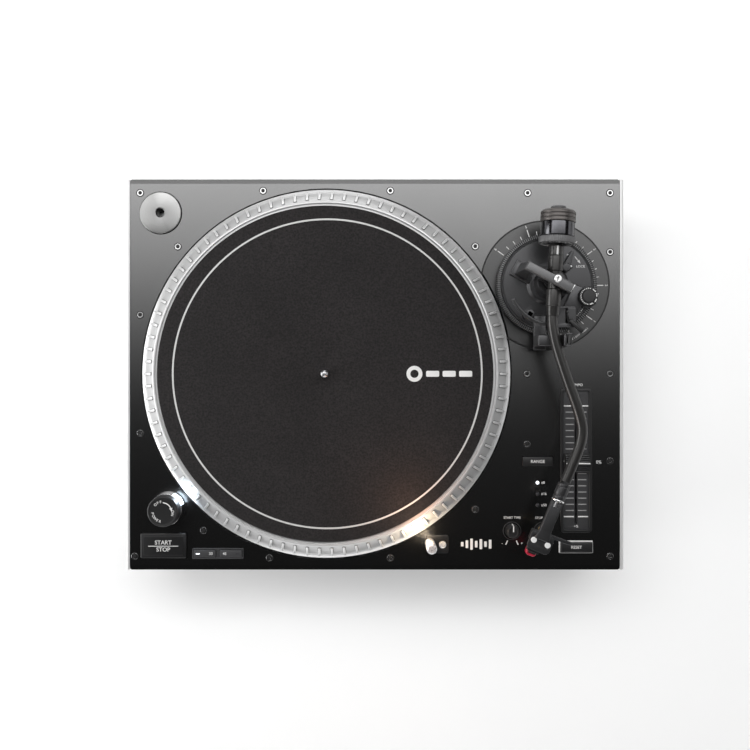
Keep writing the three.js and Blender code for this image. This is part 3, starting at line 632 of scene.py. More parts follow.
def finish_cad_nodes():
    for node, (finish, soft) in KEPT.items():
        obj = frame["nodes"][node]
        paint_slots(obj, finish)
        weld = obj.modifiers.new("weld", "WELD")
        weld.merge_threshold = 1e-6
        bevel = obj.modifiers.new("bevel", "BEVEL")
        bevel.width = soft * MM
        bevel.segments = 2
        bevel.limit_method = "ANGLE"
        bevel.angle_limit = radians(40)
        obj.data.polygons.foreach_set("use_smooth", [False] * len(obj.data.polygons))


def paint_slots(obj, finish):
    if not obj.material_slots:
        obj.data.materials.append(MATERIALS[finish])
    for slot in obj.material_slots:
        slot.material = MATERIALS[finish]


# ---- platter -----------------------------------------------------------------

BARS = 90
BAR = {"length": 14, "radius": 1.2, "height": 2.1}  # along the slope


def rim_bar(turn, radius, rows):
    """A wedge on the sloping rim: proud at its outer tip and flush further in.

    rows holds the share of its width and the lift off the slope, from the foot up.
    """
    outer, inner = Vector((162.4, 102.4)), Vector((153.4, 117))
    slope = (inner - outer).normalized()
    out = Vector((slope.y, -slope.x))
    centre = (inner - outer).length / 2
    straight = BAR["length"] / 2 - BAR["radius"]
    count = 20
    verts = []
    for spread, lift in rows:
        for k in range(count):
            b = 2 * pi * k / count
            along = cos(b) * radius * spread + copysign(straight, cos(b))
            share = 0.5 - 0.5 * along / (BAR["length"] / 2)
            rise = lift if lift <= 0.1 else lift * (0.35 + BAR["height"] * share)
            spot = outer + slope * (centre + along) + out * rise
            verts.append((spot.x, sin(b) * radius * spread, spot.y))
    bar = mesh_object("bar", verts, skin(len(rows), count), 50)
    return move(bar, PLATTER.x, PLATTER.y, 0, turn)


def add_platter():
    at = (PLATTER.x, PLATTER.y)
    top = high("platter").z - 1.2
    web = top - 6
    disc = lathe("disc", [
        (5.3, 101), (15, 101), (15, web), (148.4, web), (160, 102), (160, 88), (PLATTER_R, 88),
        (PLATTER_R, 99.4), (165.7, 99.9), (163.6, 101.2), (161.6, 103.2), (152.2, top + 0.9),
        (150.6, top + 1.2), (150, top), (5.3, top),
    ], at, 360, soft=0.5)
    paint(disc, "platter_metal")
    bars = []
    for i in range(BARS):
        turn = 2 * pi * i / BARS
        # Each bar stands on a wider, darker stadium, a painted shadow outline, and is painted brighter
        # than the rim, a painted highlight.
        painted_shade_band = rim_bar(turn, BAR["radius"] + 0.42, [(1, -0.3), (1, 0.08)])
        ridge = rim_bar(turn, BAR["radius"], [(1, -0.3), (1, 0.5), (0.9, 0.9), (0.6, 1.0)])
        bars += [paint(painted_shade_band, "bar_painted_shadow"), paint(ridge, "bar_painted_highlight")]
    piece("platter_casting", "turning_platter", "platter_aluminium", [disc, *bars], "platter")
    mat = lathe("felt_mat", [
        (3.8, MAT_TOP - 2.5), (MAT_R, MAT_TOP - 2.5), (MAT_R, MAT_TOP), (3.8, MAT_TOP),
    ], at, 256, soft=0.8)
    place(paint(mat, "felt"), "turning_platter", "felt", "slip_mat")
    pin = lathe("spindle_pin", [
        (0, 53.3), (5, 53.3), (5, 117), (3.6, 117), (3.6, 130.5), (3.2, 133), (1.8, 134.4), (0, 134.6),
    ], at, 64, soft=0.3)
    place(paint(pin, "steel"), "turning_platter", "chrome", "spindle")
    add_mat_mark()


def add_mat_mark():
    """A plain mark on the mat: a ring and three bars."""
    z = MAT_TOP
    x, y = PLATTER.x + 78.5, PLATTER.y
    parts = [prism("ring", circle(7, (x, y)), z, z + 0.05, [circle(3.6, (x, y))], 0.01)]
    for i in range(3):
        at = (x + 16 + 14.5 * i, y)
        parts.append(prism("bar", rectangle(11.5, 5.2, at, 1.2), z, z + 0.05, soft=0.01))
    paint_all("print_white", *parts)
    piece("mat_print", "turning_platter", "white_plastic", parts)


# ---- deck --------------------------------------------------------------------

SCREWS = [
    (-212, 164), (-101, 166), (14, 166), (138, 164), (212.5, 164), (-178, 115.5), (90.7, 115.7),
    (212.5, 110.6), (-212, 53.8), (-212, -52.9), (137.5, 0.5), (212.5, 0.5), (137.5, -62.8),
    (212.5, -77.9), (90.7, -121.8), (-155, -140.9), (-217, -164), (-95.3, -165.6), (14, -165.6),
    (212.5, -164),
]


def add_screws():
    parts = []
    for x, y in SCREWS:
        head = lathe("head", [
            (0, DECK - 0.4), (2.75, DECK - 0.4), (2.75, DECK + 0.28), (2.65, DECK + 0.34),
            (1.7, DECK + 0.34), (1.65, DECK - 0.3), (0, DECK - 0.3),
        ], (x, y), 32, soft=0.03)
        paint(head, "screw_steel")
        # The socket and a thin ring round the head are painted near-black: painted shade in the socket
        # and a painted shadow round the head.
        socket = prism("socket", circle(1.62, (x, y), 24), DECK - 0.3, DECK + 0.24, soft=0.02)
        paint(socket, "painted_shade_black")
        shadow = lathe("shadow", [
            (2.72, DECK), (3.5, DECK), (3.5, DECK + 0.15), (2.72, DECK + 0.15),
        ], (x, y), 32)
        paint(shadow, "painted_shade_black")
        parts += [head, socket, shadow]
    piece("deck_screws", PLINTH, "steel", parts)


def add_deck_marks():
    """A generic level-bar mark and the two words by the tempo fader."""
    parts = []
    for i, height in enumerate((4, 7, 10, 6, 9, 5, 8)):
        at = (79 + 4.2 * i, -153.3)
        bar = prism("bar", rectangle(2.4, height, at, 0.6), DECK, DECK + PRINT, soft=0.01)
        parts.append(paint(bar, "print_white"))
    fader = middle("fader_plate")
    parts.append(text("TEMPO", (fader.x + 0.6, high("fader_plate").y + 3.0), 3.4))
    parts.append(text("0%", (high("fader_plate").x + 6.2, fader.y - 1.6), 4.2))
    piece("deck_print", PLINTH, "white_plastic", parts)


# ---- start, speed, power -----------------------------------------------------


def add_start_key():
    node = "start_stop_button"
    at, top = middle(node), high(node).z
    body = node_block("body", node, 1.1)
    face = prism("face", footprint(node, -5, 1.2), top - 0.2, top + 0.25, soft=0.2)
    paint_all("key_black", body, face)
    marks = [
        text("START", (at.x, at.y + 2.9), 5.2, z=top + 0.25),
        text("STOP", (at.x, at.y - 3.4), 5.2, z=top + 0.25),
        line((at.x - 13.6, at.y - 0.2), (at.x + 13.6, at.y - 0.2), 0.6, top + 0.25),
    ]
    piece("start_stop_key", "start_key", "moulded_black", [body, face, *marks], node)


def key_cap(node, name, body, slot, finish, marks):
    cap = paint(node_block("cap", node, 0.6), finish)
    piece(name, body, slot, [cap, *marks], node)


def add_speed_keys():
    surround = "speed_key_frame"
    windows = [footprint(node, 0.5, 0.5) for node in ("button_33", "button_45")]
    plate = prism("plate", footprint(surround, 0, 1), DECK, high(surround).z, windows, 0.35)
    place(paint(plate, "grey_plastic"), PLINTH, "grey_plastic", surround)
    for node, body, words, lit, side in (
        ("button_33", "key_33", "33", "led_white", -1), ("button_45", "key_45", "45", "led_off", 1),
    ):
        at, z = middle(node), high(node).z
        led = prism("led", rectangle(3.4, 0.9, (at.x + side * 6.2, at.y), 0.3), z, z + 0.15, soft=0.05)
        paint(led, lit)
        marks = [led, text(words, (at.x - side * 5.6, at.y), 3.4, z=z)]
        key_cap(node, "speed_key_" + words, body, "grey_plastic", "grey_plastic", marks)


def add_tower():
    node = "strobe_tower_base"
    at, base = middle(node), low(node).z + 6.3
    split = high(node).z
    centre = (at.x, at.y)
    wide = half_width(node)
    sleeve = lathe("sleeve", [
        (3.5, base - 6), (7.6, base - 6), (7.6, base), (wide, base), (wide, base + 1.6),
        (wide - 1.0, split), (3.5, split),
    ], centre, 96, soft=0.3)
    paint(sleeve, "chrome")
    ring = lathe("ring", [
        (wide - 0.2, base), (wide, base), (wide, base + 1.2), (wide - 0.2, base + 1.2),
    ], centre, 96, soft=0.05)
    paint(ring, "moulded_black")
    toward = degrees(atan2(PLATTER.y - at.y, PLATTER.x - at.x))
    window = band("window", wide - 1.2, wide - 0.15, toward - 24, toward + 24, base + 2.6, split - 1,
                  centre, 0.3)
    paint(window, "strobe_glow")
    piece("strobe_tower", PLINTH, "chrome", [sleeve, ring, window], node)
    add_power_knob(centre, split)


def add_power_knob(centre, split):
    top = high("power_knob").z
    wide = half_width("power_knob")
    cap = lathe("cap", [
        (0, DECK - 2), (3.1, DECK - 2), (3.1, split + 0.3), (wide, split + 0.3),
        (wide - 0.5, top - 1.1), (wide - 1.3, top - 0.1), (wide - 2.2, top - 0.1),
        (wide - 2.5, top - 0.3), (0, top - 0.3),
    ], centre, 96, soft=0.25)
    paint(cap, "moulded_black")
    z = top - 0.3
    marks = arc_text("OFF", centre, 8.6, 118, 3.2, z)
    marks += arc_text("ON", centre, 8.9, -8, 3.2, z)
    marks += arc_text("POWER", centre, 8.9, 222, 3.2, z, outward=False)
    arrow = band("arrow", 7.4, 8.3, 18, 88, z, z + 0.06, centre, 0.01)
    head = prism("head", [(1.7, 0), (-1.3, 1.5), (-1.3, -1.5)], 0, 0.06, soft=0.01)
    a = radians(14)
    move(head, centre[0] + 7.85 * cos(a), centre[1] + 7.85 * sin(a), z, a - pi / 2)
    paint_all("print_white", arrow, head)
    piece("power_cap", "power_switch", "moulded_black", [cap, arrow, head, *marks], "power_knob")


# ---- lamp --------------------------------------------------------------------


def add_target_light():
    lamp, key = middle("target_light"), middle("target_light_button")
    lamp_r = half_width("target_light")
    holes = [circle(lamp_r + 0.5, (lamp.x, lamp.y)), circle(3.6, (key.x, key.y))]
    plate = prism("lamp_plate", footprint("target_light_plate", 0, 2.5), DECK,
                  high("target_light_plate").z, holes, 0.35)
    place(paint(plate, "moulded_black"), PLINTH, "moulded_black", "target_light_plate")
    top = high("target_light").z
    stem = lathe("stem", [
        (0, 68), (lamp_r, 68), (lamp_r, top - 14), (lamp_r - 0.5, top - 13.4), (lamp_r - 0.5, top - 12.8),
        (lamp_r, top - 12.2), (lamp_r, top - 1.2), (lamp_r - 1.2, top), (0, top),
    ], (lamp.x, lamp.y), 64, soft=0.3)
    paint(stem, "lamp_silver")
    toward = degrees(atan2(PLATTER.y - lamp.y, PLATTER.x - lamp.x))
    lens = band("lens", lamp_r - 1.5, lamp_r - 0.05, toward - 38, toward + 38, top - 11, top - 3,
                (lamp.x, lamp.y), 0.4)
    paint(lens, "lamp_glow")
    piece("pop_up_lamp", "pop_up_light", "moulded_black", [stem, lens], "target_light")
    button = lathe("lamp_button", [
        (0, DECK - 6), (3.2, DECK - 6), (3.2, DECK + 2), (2.7, DECK + 2.6), (1.6, DECK + 2.3),
        (0, DECK + 2.2),
    ], (key.x, key.y), 48, soft=0.25)
    place(paint(button, "lamp_silver"), "light_key", "grey_plastic", "target_light_button")


# ---- knobs -------------------------------------------------------------------


def fluted(count, depth, lowest, highest):
    def wave(angle, radius, height):
        inside = lowest < height < highest and radius > 4
        return -depth * (0.5 + 0.5 * cos(count * angle)) ** 3 if inside else 0
    return wave


def add_time_knob(node, body, name, words):
    at, top = middle(node), high(node).z
    base = DECK + 0.3
    knob = lathe("knob", [
        (0, DECK - 12), (3, DECK - 12), (3, base), (6.5, base), (6.4, base + 1), (5.5, top - 0.9),
        (4.9, top - 0.1), (3.9, top - 0.1), (3.7, top - 0.35), (0, top - 0.35),
    ], (at.x, at.y), 144, soft=0.25, wave=fluted(18, 0.35, base + 0.5, top - 0.5))
    paint(knob, "moulded_black")
    pointer = ribbon([(0.4, top - 0.3), (3.6, top - 0.3), (4.95, top), (5.6, top - 0.9),
                      (6.5, base + 0.8)], 0.95, (at.x, at.y), pi / 2)
    piece(name, body, "moulded_black", [knob, paint(pointer, "print_white")], node)
    skirt = lathe("skirt", [
        (7.6, DECK), (8.3, DECK), (8.2, DECK + 0.25), (7.7, DECK + 0.25),
    ], (at.x, at.y), 64, soft=0.08)
    paint(skirt, "grey_plastic")
    marks = [skirt, text(words, (at.x + 0.2, at.y + 11.8), 2.9)]
    for sign, a, side in (("-", 246, -1), ("+", 294, 1)):
        c, s = cos(radians(a)), sin(radians(a))
        marks.append(line((at.x + 9.6 * c, at.y + 9.6 * s), (at.x + 13.8 * c, at.y + 13.8 * s), 1.0))
        marks.append(text(sign, (at.x + side * 8.8, at.y - 11.4), 3.2))
    piece(name + "_print", PLINTH, "white_plastic", marks)


def ribbon(profile, width, at, turn):
    """A printed stripe that follows a turned profile outwards from its axis."""
    thick = 0.12
    verts, faces = [], []
    for r, z in profile:
        for side in (-1, 1):
            verts += [(r, side * width / 2, z - thick), (r, side * width / 2, z + thick)]
    last = len(profile) - 1
    for i in range(last):
        a, b = 4 * i, 4 * (i + 1)
        faces += [(a, a + 1, b + 1, b), (a + 2, b + 2, b + 3, a + 3),
                  (a + 1, a + 3, b + 3, b + 1), (a, b, b + 2, a + 2)]
    faces += [(0, 2, 3, 1), (4 * last, 4 * last + 1, 4 * last + 3, 4 * last + 2)]
    return move(mesh_object("ribbon", verts, faces, 60), at[0], at[1], 0, turn)


# ---- pitch controls ----------------------------------------------------------


def add_range_keys():
    at, z = middle("range_button"), high("range_button").z
    key_cap("range_button", "range_key_cap", "range_key", "grey_plastic", "key_black",
            [text("RANGE", (at.x, at.y), 3.9, z=z)])
    at, z = middle("reset_button"), high("reset_button").z
    key_cap("reset_button", "reset_key_cap", "reset_key", "grey_plastic", "key_black",
            [text("RESET", (at.x, at.y), 3.7, z=z)])
    size = high("reset_button") - low("reset_button")
    outline = prism("outline", footprint("reset_button", 2.4, 1.2), DECK, DECK + 0.08,
                    [footprint("reset_button", 1.5, 0.9)], 0.01)
    paint(outline, "print_grey")
    left, right = at.x - size.x / 2 - 1.1, at.x + size.x / 2 + 0.8
    rear, front = at.y + size.y / 2 + 1.1, at.y - size.y / 2 - 0.6
    sides = [line((left, rear), (right, rear), 1.5, DECK + 0.05),
             line((left, front), (left, rear), 1.3, DECK + 0.05)]
    guide = middle("range_light_guide")
    parts = [outline, *sides]
    top = high("range_light_guide").z
    words = ("±8", "±16", "±50")
    for i, word in enumerate(words):
        y = guide.y + 10.15 * (1 - i)
        lens = lathe("lens", [(0, top - 6), (1.5, top - 6), (1.5, top - 0.5), (1.0, top), (0, top + 0.1)],
                     (guide.x, y), 32, soft=0.3)
        paint(lens, "led_white" if i == 0 else "led_off")
        # Each lens gets a near-black ring: painted shade in the gap round it.
        bezel = lathe("bezel", [(1.6, DECK), (2.1, DECK), (2.0, DECK + 0.2), (1.6, DECK + 0.2)],
                      (guide.x, y), 32)
        paint(bezel, "painted_shade_black")
        parts += [lens, bezel, text(word, (guide.x + 3.2, y), 3.2, align="LEFT")]
    bar = block("bar", (6, 28, 4), (guide.x, guide.y, 88), soft=0.4)
    paint(bar, "white_plastic")
    piece("range_lights", PLINTH, "white_plastic", [*parts, bar], "range_light_guide")


def add_fader():
    lo, hi = low("fader_plate"), high("fader_plate")
    at = ((lo.x + hi.x) / 2, (lo.y + hi.y) / 2)
    zero = middle("tempo_fader_cap").y
    well = DECK - 0.15
    rim = prism("rim", footprint("fader_plate", 0, 4), DECK - 1, hi.z,
                [rectangle(23.1, 125.3, at, 2.5)], 0.5)
    paint(rim, "moulded_black")
    slot = rectangle(2.4, 114, (at[0], zero), 0.8)
    floor = prism("floor", rectangle(23.6, 125.8, at, 2.5), well - 1.2, well, [slot], 0.15)
    paint(floor, "grey_plastic")
    marks = []
    steps, travel = 9, 50
    for i in range(-steps, steps + 1):
        y = zero + 1.1 + i * travel / steps
        long = i in (-steps, 0, steps)
        for side in (-1, 1):
            start, end = (at[0] + side * 1.8, y), (at[0] + side * (11 if long else 9.4), y)
            marks.append(line(start, end, 1.1 if long else 0.8, well, 0.08,
                              "print_white" if long else "print_grey"))
    marks.append(text("+%", (at[0], at[1] - 59.6), 3.0, z=well))
    piece("fader_face", PLINTH, "grey_plastic", [rim, floor, *marks], "fader_plate")
    add_fader_cap(at[0], zero)


def add_fader_cap(x, y):
    base, top = DECK + 1.7, high("tempo_fader_cap").z
    width, length = 22, 16.5
    ridges = [(-length / 2, base), (-length / 2, base + 3.6)]
    for k in range(4):
        y0 = -length / 2 + 0.8 + 1.7 * k
        height = base + 4.2 + 1.0 * k
        ridges += [(y0, height), (y0 + 1.0, height + 0.35), (y0 + 1.25, height - 0.1)]
    ridges += [(-0.9, top - 1.2), (-0.7, top), (0.7, top), (0.9, top - 1.2)]
    mirrored = [(-a, b) for a, b in reversed(ridges[:-4])]
    profile = ridges + mirrored
    verts = [(s * width / 2, a, b) for s in (-1, 1) for a, b in profile]
    cap = move(mesh_object("cap", verts, skin(2, len(profile)), 30), x, y)
    paint(bevelled(cap, 0.35, 2), "key_black")
    index = line((x - width / 2 + 0.4, y), (x + width / 2 - 0.4, y), 1.2, top, 0.08)
    stem = block("stem", (1.8, 8, 20), (x, y, 80), soft=0.3)
    paint(stem, "steel")
    piece("fader_knob", "tempo_fader", "grey_plastic", [cap, index, stem], "tempo_fader_cap")


def drill(obj, at, radius, z0, z1):
    """Cuts an upright round hole."""
    tool = prism("tool", circle(radius, at, 40), z0, z1, soft=0.01)
    hole = obj.modifiers.new("hole", "BOOLEAN")
    hole.operation = "DIFFERENCE"
    hole.object = tool
    apply_modifiers(obj)
    bpy.data.objects.remove(tool)
    tidy_mesh(obj, 40)


def bevelled(obj, width, segments):
    bevel = obj.modifiers.new("bevel", "BEVEL")
    bevel.width = width * MM
    bevel.segments = segments
    return apply_modifiers(obj)


def apply_modifiers(obj):
    graph = bpy.context.evaluated_depsgraph_get()
    mesh = bpy.data.meshes.new_from_object(obj.evaluated_get(graph))
    obj.modifiers.clear()
    obj.data = mesh
    return obj


# ---- 45 adapter --------------------------------------------------------------


def add_adapter():
    lo, hi = low("adapter_45"), high("adapter_45")
    at = ((lo.x + hi.x) / 2, (lo.y + hi.y) / 2)
    r, top = (hi.x - lo.x) / 2, hi.z
    body = lathe("single_centre", [
        (3.6, lo.z), (r, lo.z), (r, top - 1.0), (r - 0.6, top - 0.35), (4.6, top), (3.9, top - 0.3),
        (3.6, top - 1.2),
    ], at, 160, soft=0.15)
    place(paint(body, "adapter_metal"), "single_adapter", "aluminium", "adapter_45")


# ---- tonearm base ------------------------------------------------------------


def about_pivot(x, y):
    return PIVOT.x + x, PIVOT.y + y


def add_mount_print():
    """Height scale round the arm, a painted shadow round the plate and a painted highlight on part of its
    edge.
    """
    z = high("tonearm_mount_plate").z
    centre = PIVOT_AT
    parts = []
    inner, short_end, long_end, words = 45.9, 49.2, 52.6, 55.2
    for i in range(25):
        angle = -72 + 9 * i
        long = i % 4 == 0
        if abs(angle - 90) < 8:
            continue
        a = radians(angle)
        start = about_pivot(inner * cos(a), inner * sin(a))
        reach = long_end if long else short_end
        end = about_pivot(reach * cos(a), reach * sin(a))
        parts.append(line(start, end, 0.8 if long else 0.6, z))
        if long:
            at = about_pivot(words * cos(a), words * sin(a))
            parts.append(text(str(i // 4), at, 3.2, a - pi / 2, z))
    parts += arc_text("HEIGHT (mm)", centre, 54.3, 305, 2.3, z, outward=False)
    piece("height_scale", PLINTH, "white_plastic", parts)
    # A near-black ring round the plate is a painted shadow; a steel-bright arc on part of its edge is a
    # painted highlight.
    shade = band("shade", 57.2, 58.7, 0, 360, DECK, DECK + 0.05, centre, 0.01, 180)
    edge = band("edge", 56.6, 57.1, 262, 372, DECK, DECK + 0.07, centre, 0.01, 90)
    paint(shade, "painted_shade_black")
    paint(edge, "screw_steel")
    piece("mount_edge", PLINTH, "deck_black", [shade, edge])


def add_height_ring():
    """The height ring: a near-black channel, painted shade between the teeth, crossed by a row of fine
    teeth.
    """
    top = high("height_ring").z
    outer, inner, teeth = 44.6, 41.5, 150
    ring = lathe("ring", [
        (inner - 11, 99), (outer, 99), (outer, top - 1.2), (outer - 0.4, top - 0.8),
        (inner, top - 0.8), (inner, 102.6), (inner - 11, 102.6),
    ], PIVOT_AT, 180)
    paint(ring, "painted_shade_black")
    verts, faces = [], []
    for i in range(teeth):
        a = 2 * pi * i / teeth
        across = Vector((-sin(a), cos(a), 0)) * 0.42
        along = Vector((cos(a), sin(a), 0))
        base = len(verts)
        for r, z in ((outer, 99.6), (outer, top - 0.5), (outer - 0.6, top), (inner, top), (inner, 99.6)):
            for side in (-1, 1):
                narrow = 1 if z < top else 0.7
                verts.append(along * r + across * side * narrow + Vector((0, 0, z)))
        for k in range(5):
            n = (k + 1) % 5
            faces.append((base + 2 * k, base + 2 * k + 1, base + 2 * n + 1, base + 2 * n))
        faces.append(tuple(base + 2 * k for k in range(4, -1, -1)))
        faces.append(tuple(base + 2 * k + 1 for k in range(5)))
    row = move(mesh_object("teeth", verts, faces), PIVOT.x, PIVOT.y)
    paint(row, "bridge_grey")
    piece("height_ring_knurled", "height_dial", "deck_black", [ring, row], "height_ring")


def add_arm_base():
    """Round arm plate with its raised housings, the turret and the arm rest."""
    centre = PIVOT_AT
    top = ARM_PLATE_TOP
    over_ring = high("height_ring").z + 0.6
    plate = lathe("plate", [
        (15, 86), (28, 86), (28, 103), (41.1, 103), (41.1, top - 0.8), (40.5, top), (40.1, top),
        (39.8, top - 0.5), (39.3, top - 0.5), (39, top), (18.6, top), (16.6, 112.4),
        (15.6, HOUSING_TOP), (12.8, HOUSING_TOP), (11.5, 126), (6.4, 126), (6.4, 104), (15, 104),
    ], centre, 160, soft=0.25)
    drill(plate, about_pivot(-19.5, -27.9), 3.3, 101, 112)
    step = block("step", (19.3, 14.7, HOUSING_TOP - over_ring), (-24.65, -0.95, over_ring), soft=0.5)
    rim = prism("rim", rectangle(17.6, 13, (-24.65, -0.95), 0.8), 112.9, 113.25,
                [rectangle(16.4, 11.8, (-24.65, -0.95), 0.5)], 0.1)
    for obj in (step, rim):
        move(obj, centre[0], centre[1], 0, BRIDGE_TURN)
    offset = atan2(BEARING.y, BEARING.x)
    dial = block("dial_house", (14, 24, HOUSING_TOP - over_ring), (*about_pivot(24.6, -13.2), over_ring),
                 offset, 1.2)
    knob = middle("anti_skate_knob")
    dial_round = lathe("dial_round", [
        (3.5, over_ring), (9.6, over_ring), (9.6, 112.4), (9, HOUSING_TOP),
        (3.5, HOUSING_TOP),
    ], (knob.x, knob.y), 64, soft=0.3)
    parts = [plate, step, rim, dial, dial_round, *lift_housing(over_ring), *arm_rest(over_ring)]
    paint_all("arm_black", *parts)
    piece("arm_base_casting", "arm_mount", "deck_black", parts + base_print(), "arm_base")


def lift_housing(over_ring):
    """The raised deck over the cueing gear, with the lever's slot in it."""
    x, y = CUE_SLOT
    deck = prism("lift_deck", rectangle(24, 19, about_pivot(12, -29.5), 1.2), over_ring, 114,
                 [rectangle(3.4, 13, about_pivot(x, y), 0.5)], 0.6)
    step = prism("lift_step", rectangle(7.4, 16, about_pivot(20.8, -29.4), 0.8), 113.9, 114.6, soft=0.3)
    return [deck, step]


def arm_rest(over_ring):
    y = ARM_REST
    arm = block("rest_arm", (11, 31, 114 - over_ring), (*about_pivot(-7.5, -43.5), over_ring), soft=1)
    foot = block("rest_foot", (22.6, 10, 6), (*about_pivot(-1.7, y), HOUSING_TOP), soft=0.9)
    cradle = block("rest_cradle", (18, 10, 18), (*about_pivot(-4, y), 118), soft=1.4)
    wall = block("rest_wall", (2.4, 10, 28.5), (*about_pivot(8.4, y), 118), soft=0.7)
    lugs = [block("lug", (5, 1.3, 7), (*about_pivot(10.9, y + side * 4.95), 143), soft=0.4)
            for side in (-1, 1)]
    return [arm, foot, cradle, wall, *lugs]


def base_print():
    """The lock's word and arrow, a dot beside its lever, and the anti-skate scale's dots."""
    z = ARM_PLATE_TOP
    marks = [text("LOCK", about_pivot(29.6, 15.6), 3.0, z=z)]
    marks.append(line(about_pivot(24.2, 24.6), about_pivot(27.2, 21), 0.8, z))
    head = prism("head", [(0, -2.6), (1.1, 0.4), (0, 1.2), (-1.1, 0.4)], 0, 0.06, soft=0.01)
    at = about_pivot(27.9, 20.3)
    marks.append(paint(move(head, at[0], at[1], z, radians(35)), "print_white"))
    marks.append(dot(about_pivot(18, 26.2), 0.8, z, 16))
    for i in range(12):
        a = radians(-60 + 2.7 * i)
        marks.append(dot(about_pivot(38.3 * cos(a), 38.3 * sin(a)), 0.35, z, 8, 0.05))
    return marks


def add_bridge():
    """The arch over the tonearm's bearings, with the bearing screw on top."""
    top = high("arm_bridge").z
    under = 150.5
    bar = tapered("bar", (44.2, 8), (42.6, 6.6), under, top, (-6.2, -1.4))
    left = tapered("left", (10.2, 10.8), (6.6, 6.8), 113.3, top - 0.6, (-25, -0.7), (-24.2, -1.2))
    right = block("right", (2.7, 7, under + 1 - 113.3), (14.55, -1.4, 113.3), soft=0.6)
    glint = block("glint", (0.7, 6.8, 0.3), (15.1, -1.4, top - 0.18), soft=0.1)
    parts = [paint(bar, "bridge_grey"), paint(left, "arm_black"), paint(right, "arm_black"),
             paint(glint, "screw_steel")]
    for obj in parts:
        move(obj, PIVOT.x, PIVOT.y, 0, BRIDGE_TURN)
    head = lathe("head", [
        (0, top - 1), (3.2, top - 1), (3.2, top + 0.3), (2.7, top + 0.7), (1.1, top + 0.7),
        (0.9, top + 0.1), (0, top + 0.1),
    ], PIVOT_AT, 48, soft=0.15)
    shade = lathe("shade", [(3.2, top - 0.4), (4, top - 0.4), (4, top + 0.05), (3.2, top + 0.05)],
                  PIVOT_AT, 48)
    # The screw's slot is a near-black strip: painted shade.
    slot = block("slot", (4.4, 0.7, 0.25), (0, 0, top + 0.5), 0.7, soft=0.08)
    move(slot, PIVOT.x, PIVOT.y, 0, 0.6)
    parts += [paint(head, "lamp_silver"), paint(shade, "arm_black"), paint(slot, "painted_shade_black")]
    piece("bearing_bridge", "arm_mount", "deck_black", parts, "arm_bridge")


def tapered(name, base, cap, z0, z1, at, cap_at=None):
    """A block whose top is smaller than its foot, with rounded edges."""
    verts = []
    for (w, d), z, (x, y) in ((base, z0, at), (cap, z1, cap_at or at)):
        verts += [(x + sx * w / 2, y + sy * d / 2, z) for sx, sy in ((1, 1), (-1, 1), (-1, -1), (1, -1))]
    obj = bevelled(mesh_object(name, verts, skin(2, 4)), 0.6, 3)
    tidy_mesh(obj, 60)
    return obj


def add_lift_parts():
    centre = PIVOT_AT
    arc = band("arc", 36, 39.5, 204, 261, 133, 136, centre, 0.9, 48)
    # A near-black line along the top of the arc: painted shade.
    painted_shade_band = band("painted_shade_band", 37.3, 38.3, 205.5, 259.5, 135.9, 136.05, centre, 0.05, 48)
    post = lathe("post", [
        (0, 112), (3, 112), (3, 131.6), (3.4, 132), (3.4, 134), (0, 134),
    ], about_pivot(-19.5, -27.9), 48, soft=0.3)
    web = prism("web", rectangle(8, 5, about_pivot(-20.5, -29.6), 1, radians(235)), 131.8, 134,
                soft=0.5)
    paint_all("arm_black", arc, web)
    paint(painted_shade_band, "painted_shade_black")
    paint(post, "arm_black")
    piece("lift_arc", "lift_platform", "deck_black", [arc, web, painted_shade_band, post], "cue_lifter")
    hub = joint_place("cue_turn")
    axle = lathe("axle", [(0, -1.3), (2.4, -1.3), (2.4, 1.3), (0, 1.3)], sides=40, soft=0.3)
    aim(axle, hub, (1, 0, 0))
    route = [(hub.x, hub.y - 1, hub.z + 0.4), (hub.x, hub.y - 5, hub.z + 2.1),
             (hub.x + 0.4, hub.y - 8.6, hub.z + 4)]
    stalk = sweep("stalk", route, 1.2, 16)
    paddle = tapered("paddle", (16, 4.2), (14.8, 3.2), -1.2, 1.2, (0, 0))
    move(paddle, hub.x + 6.9, hub.y - 12.3, hub.z + 4.5, -0.72)
    paint_all("moulded_black", axle, stalk, paddle)
    piece("cue_handle_lever", "cue_handle", "deck_black", [axle, stalk, paddle], "cue_lever")


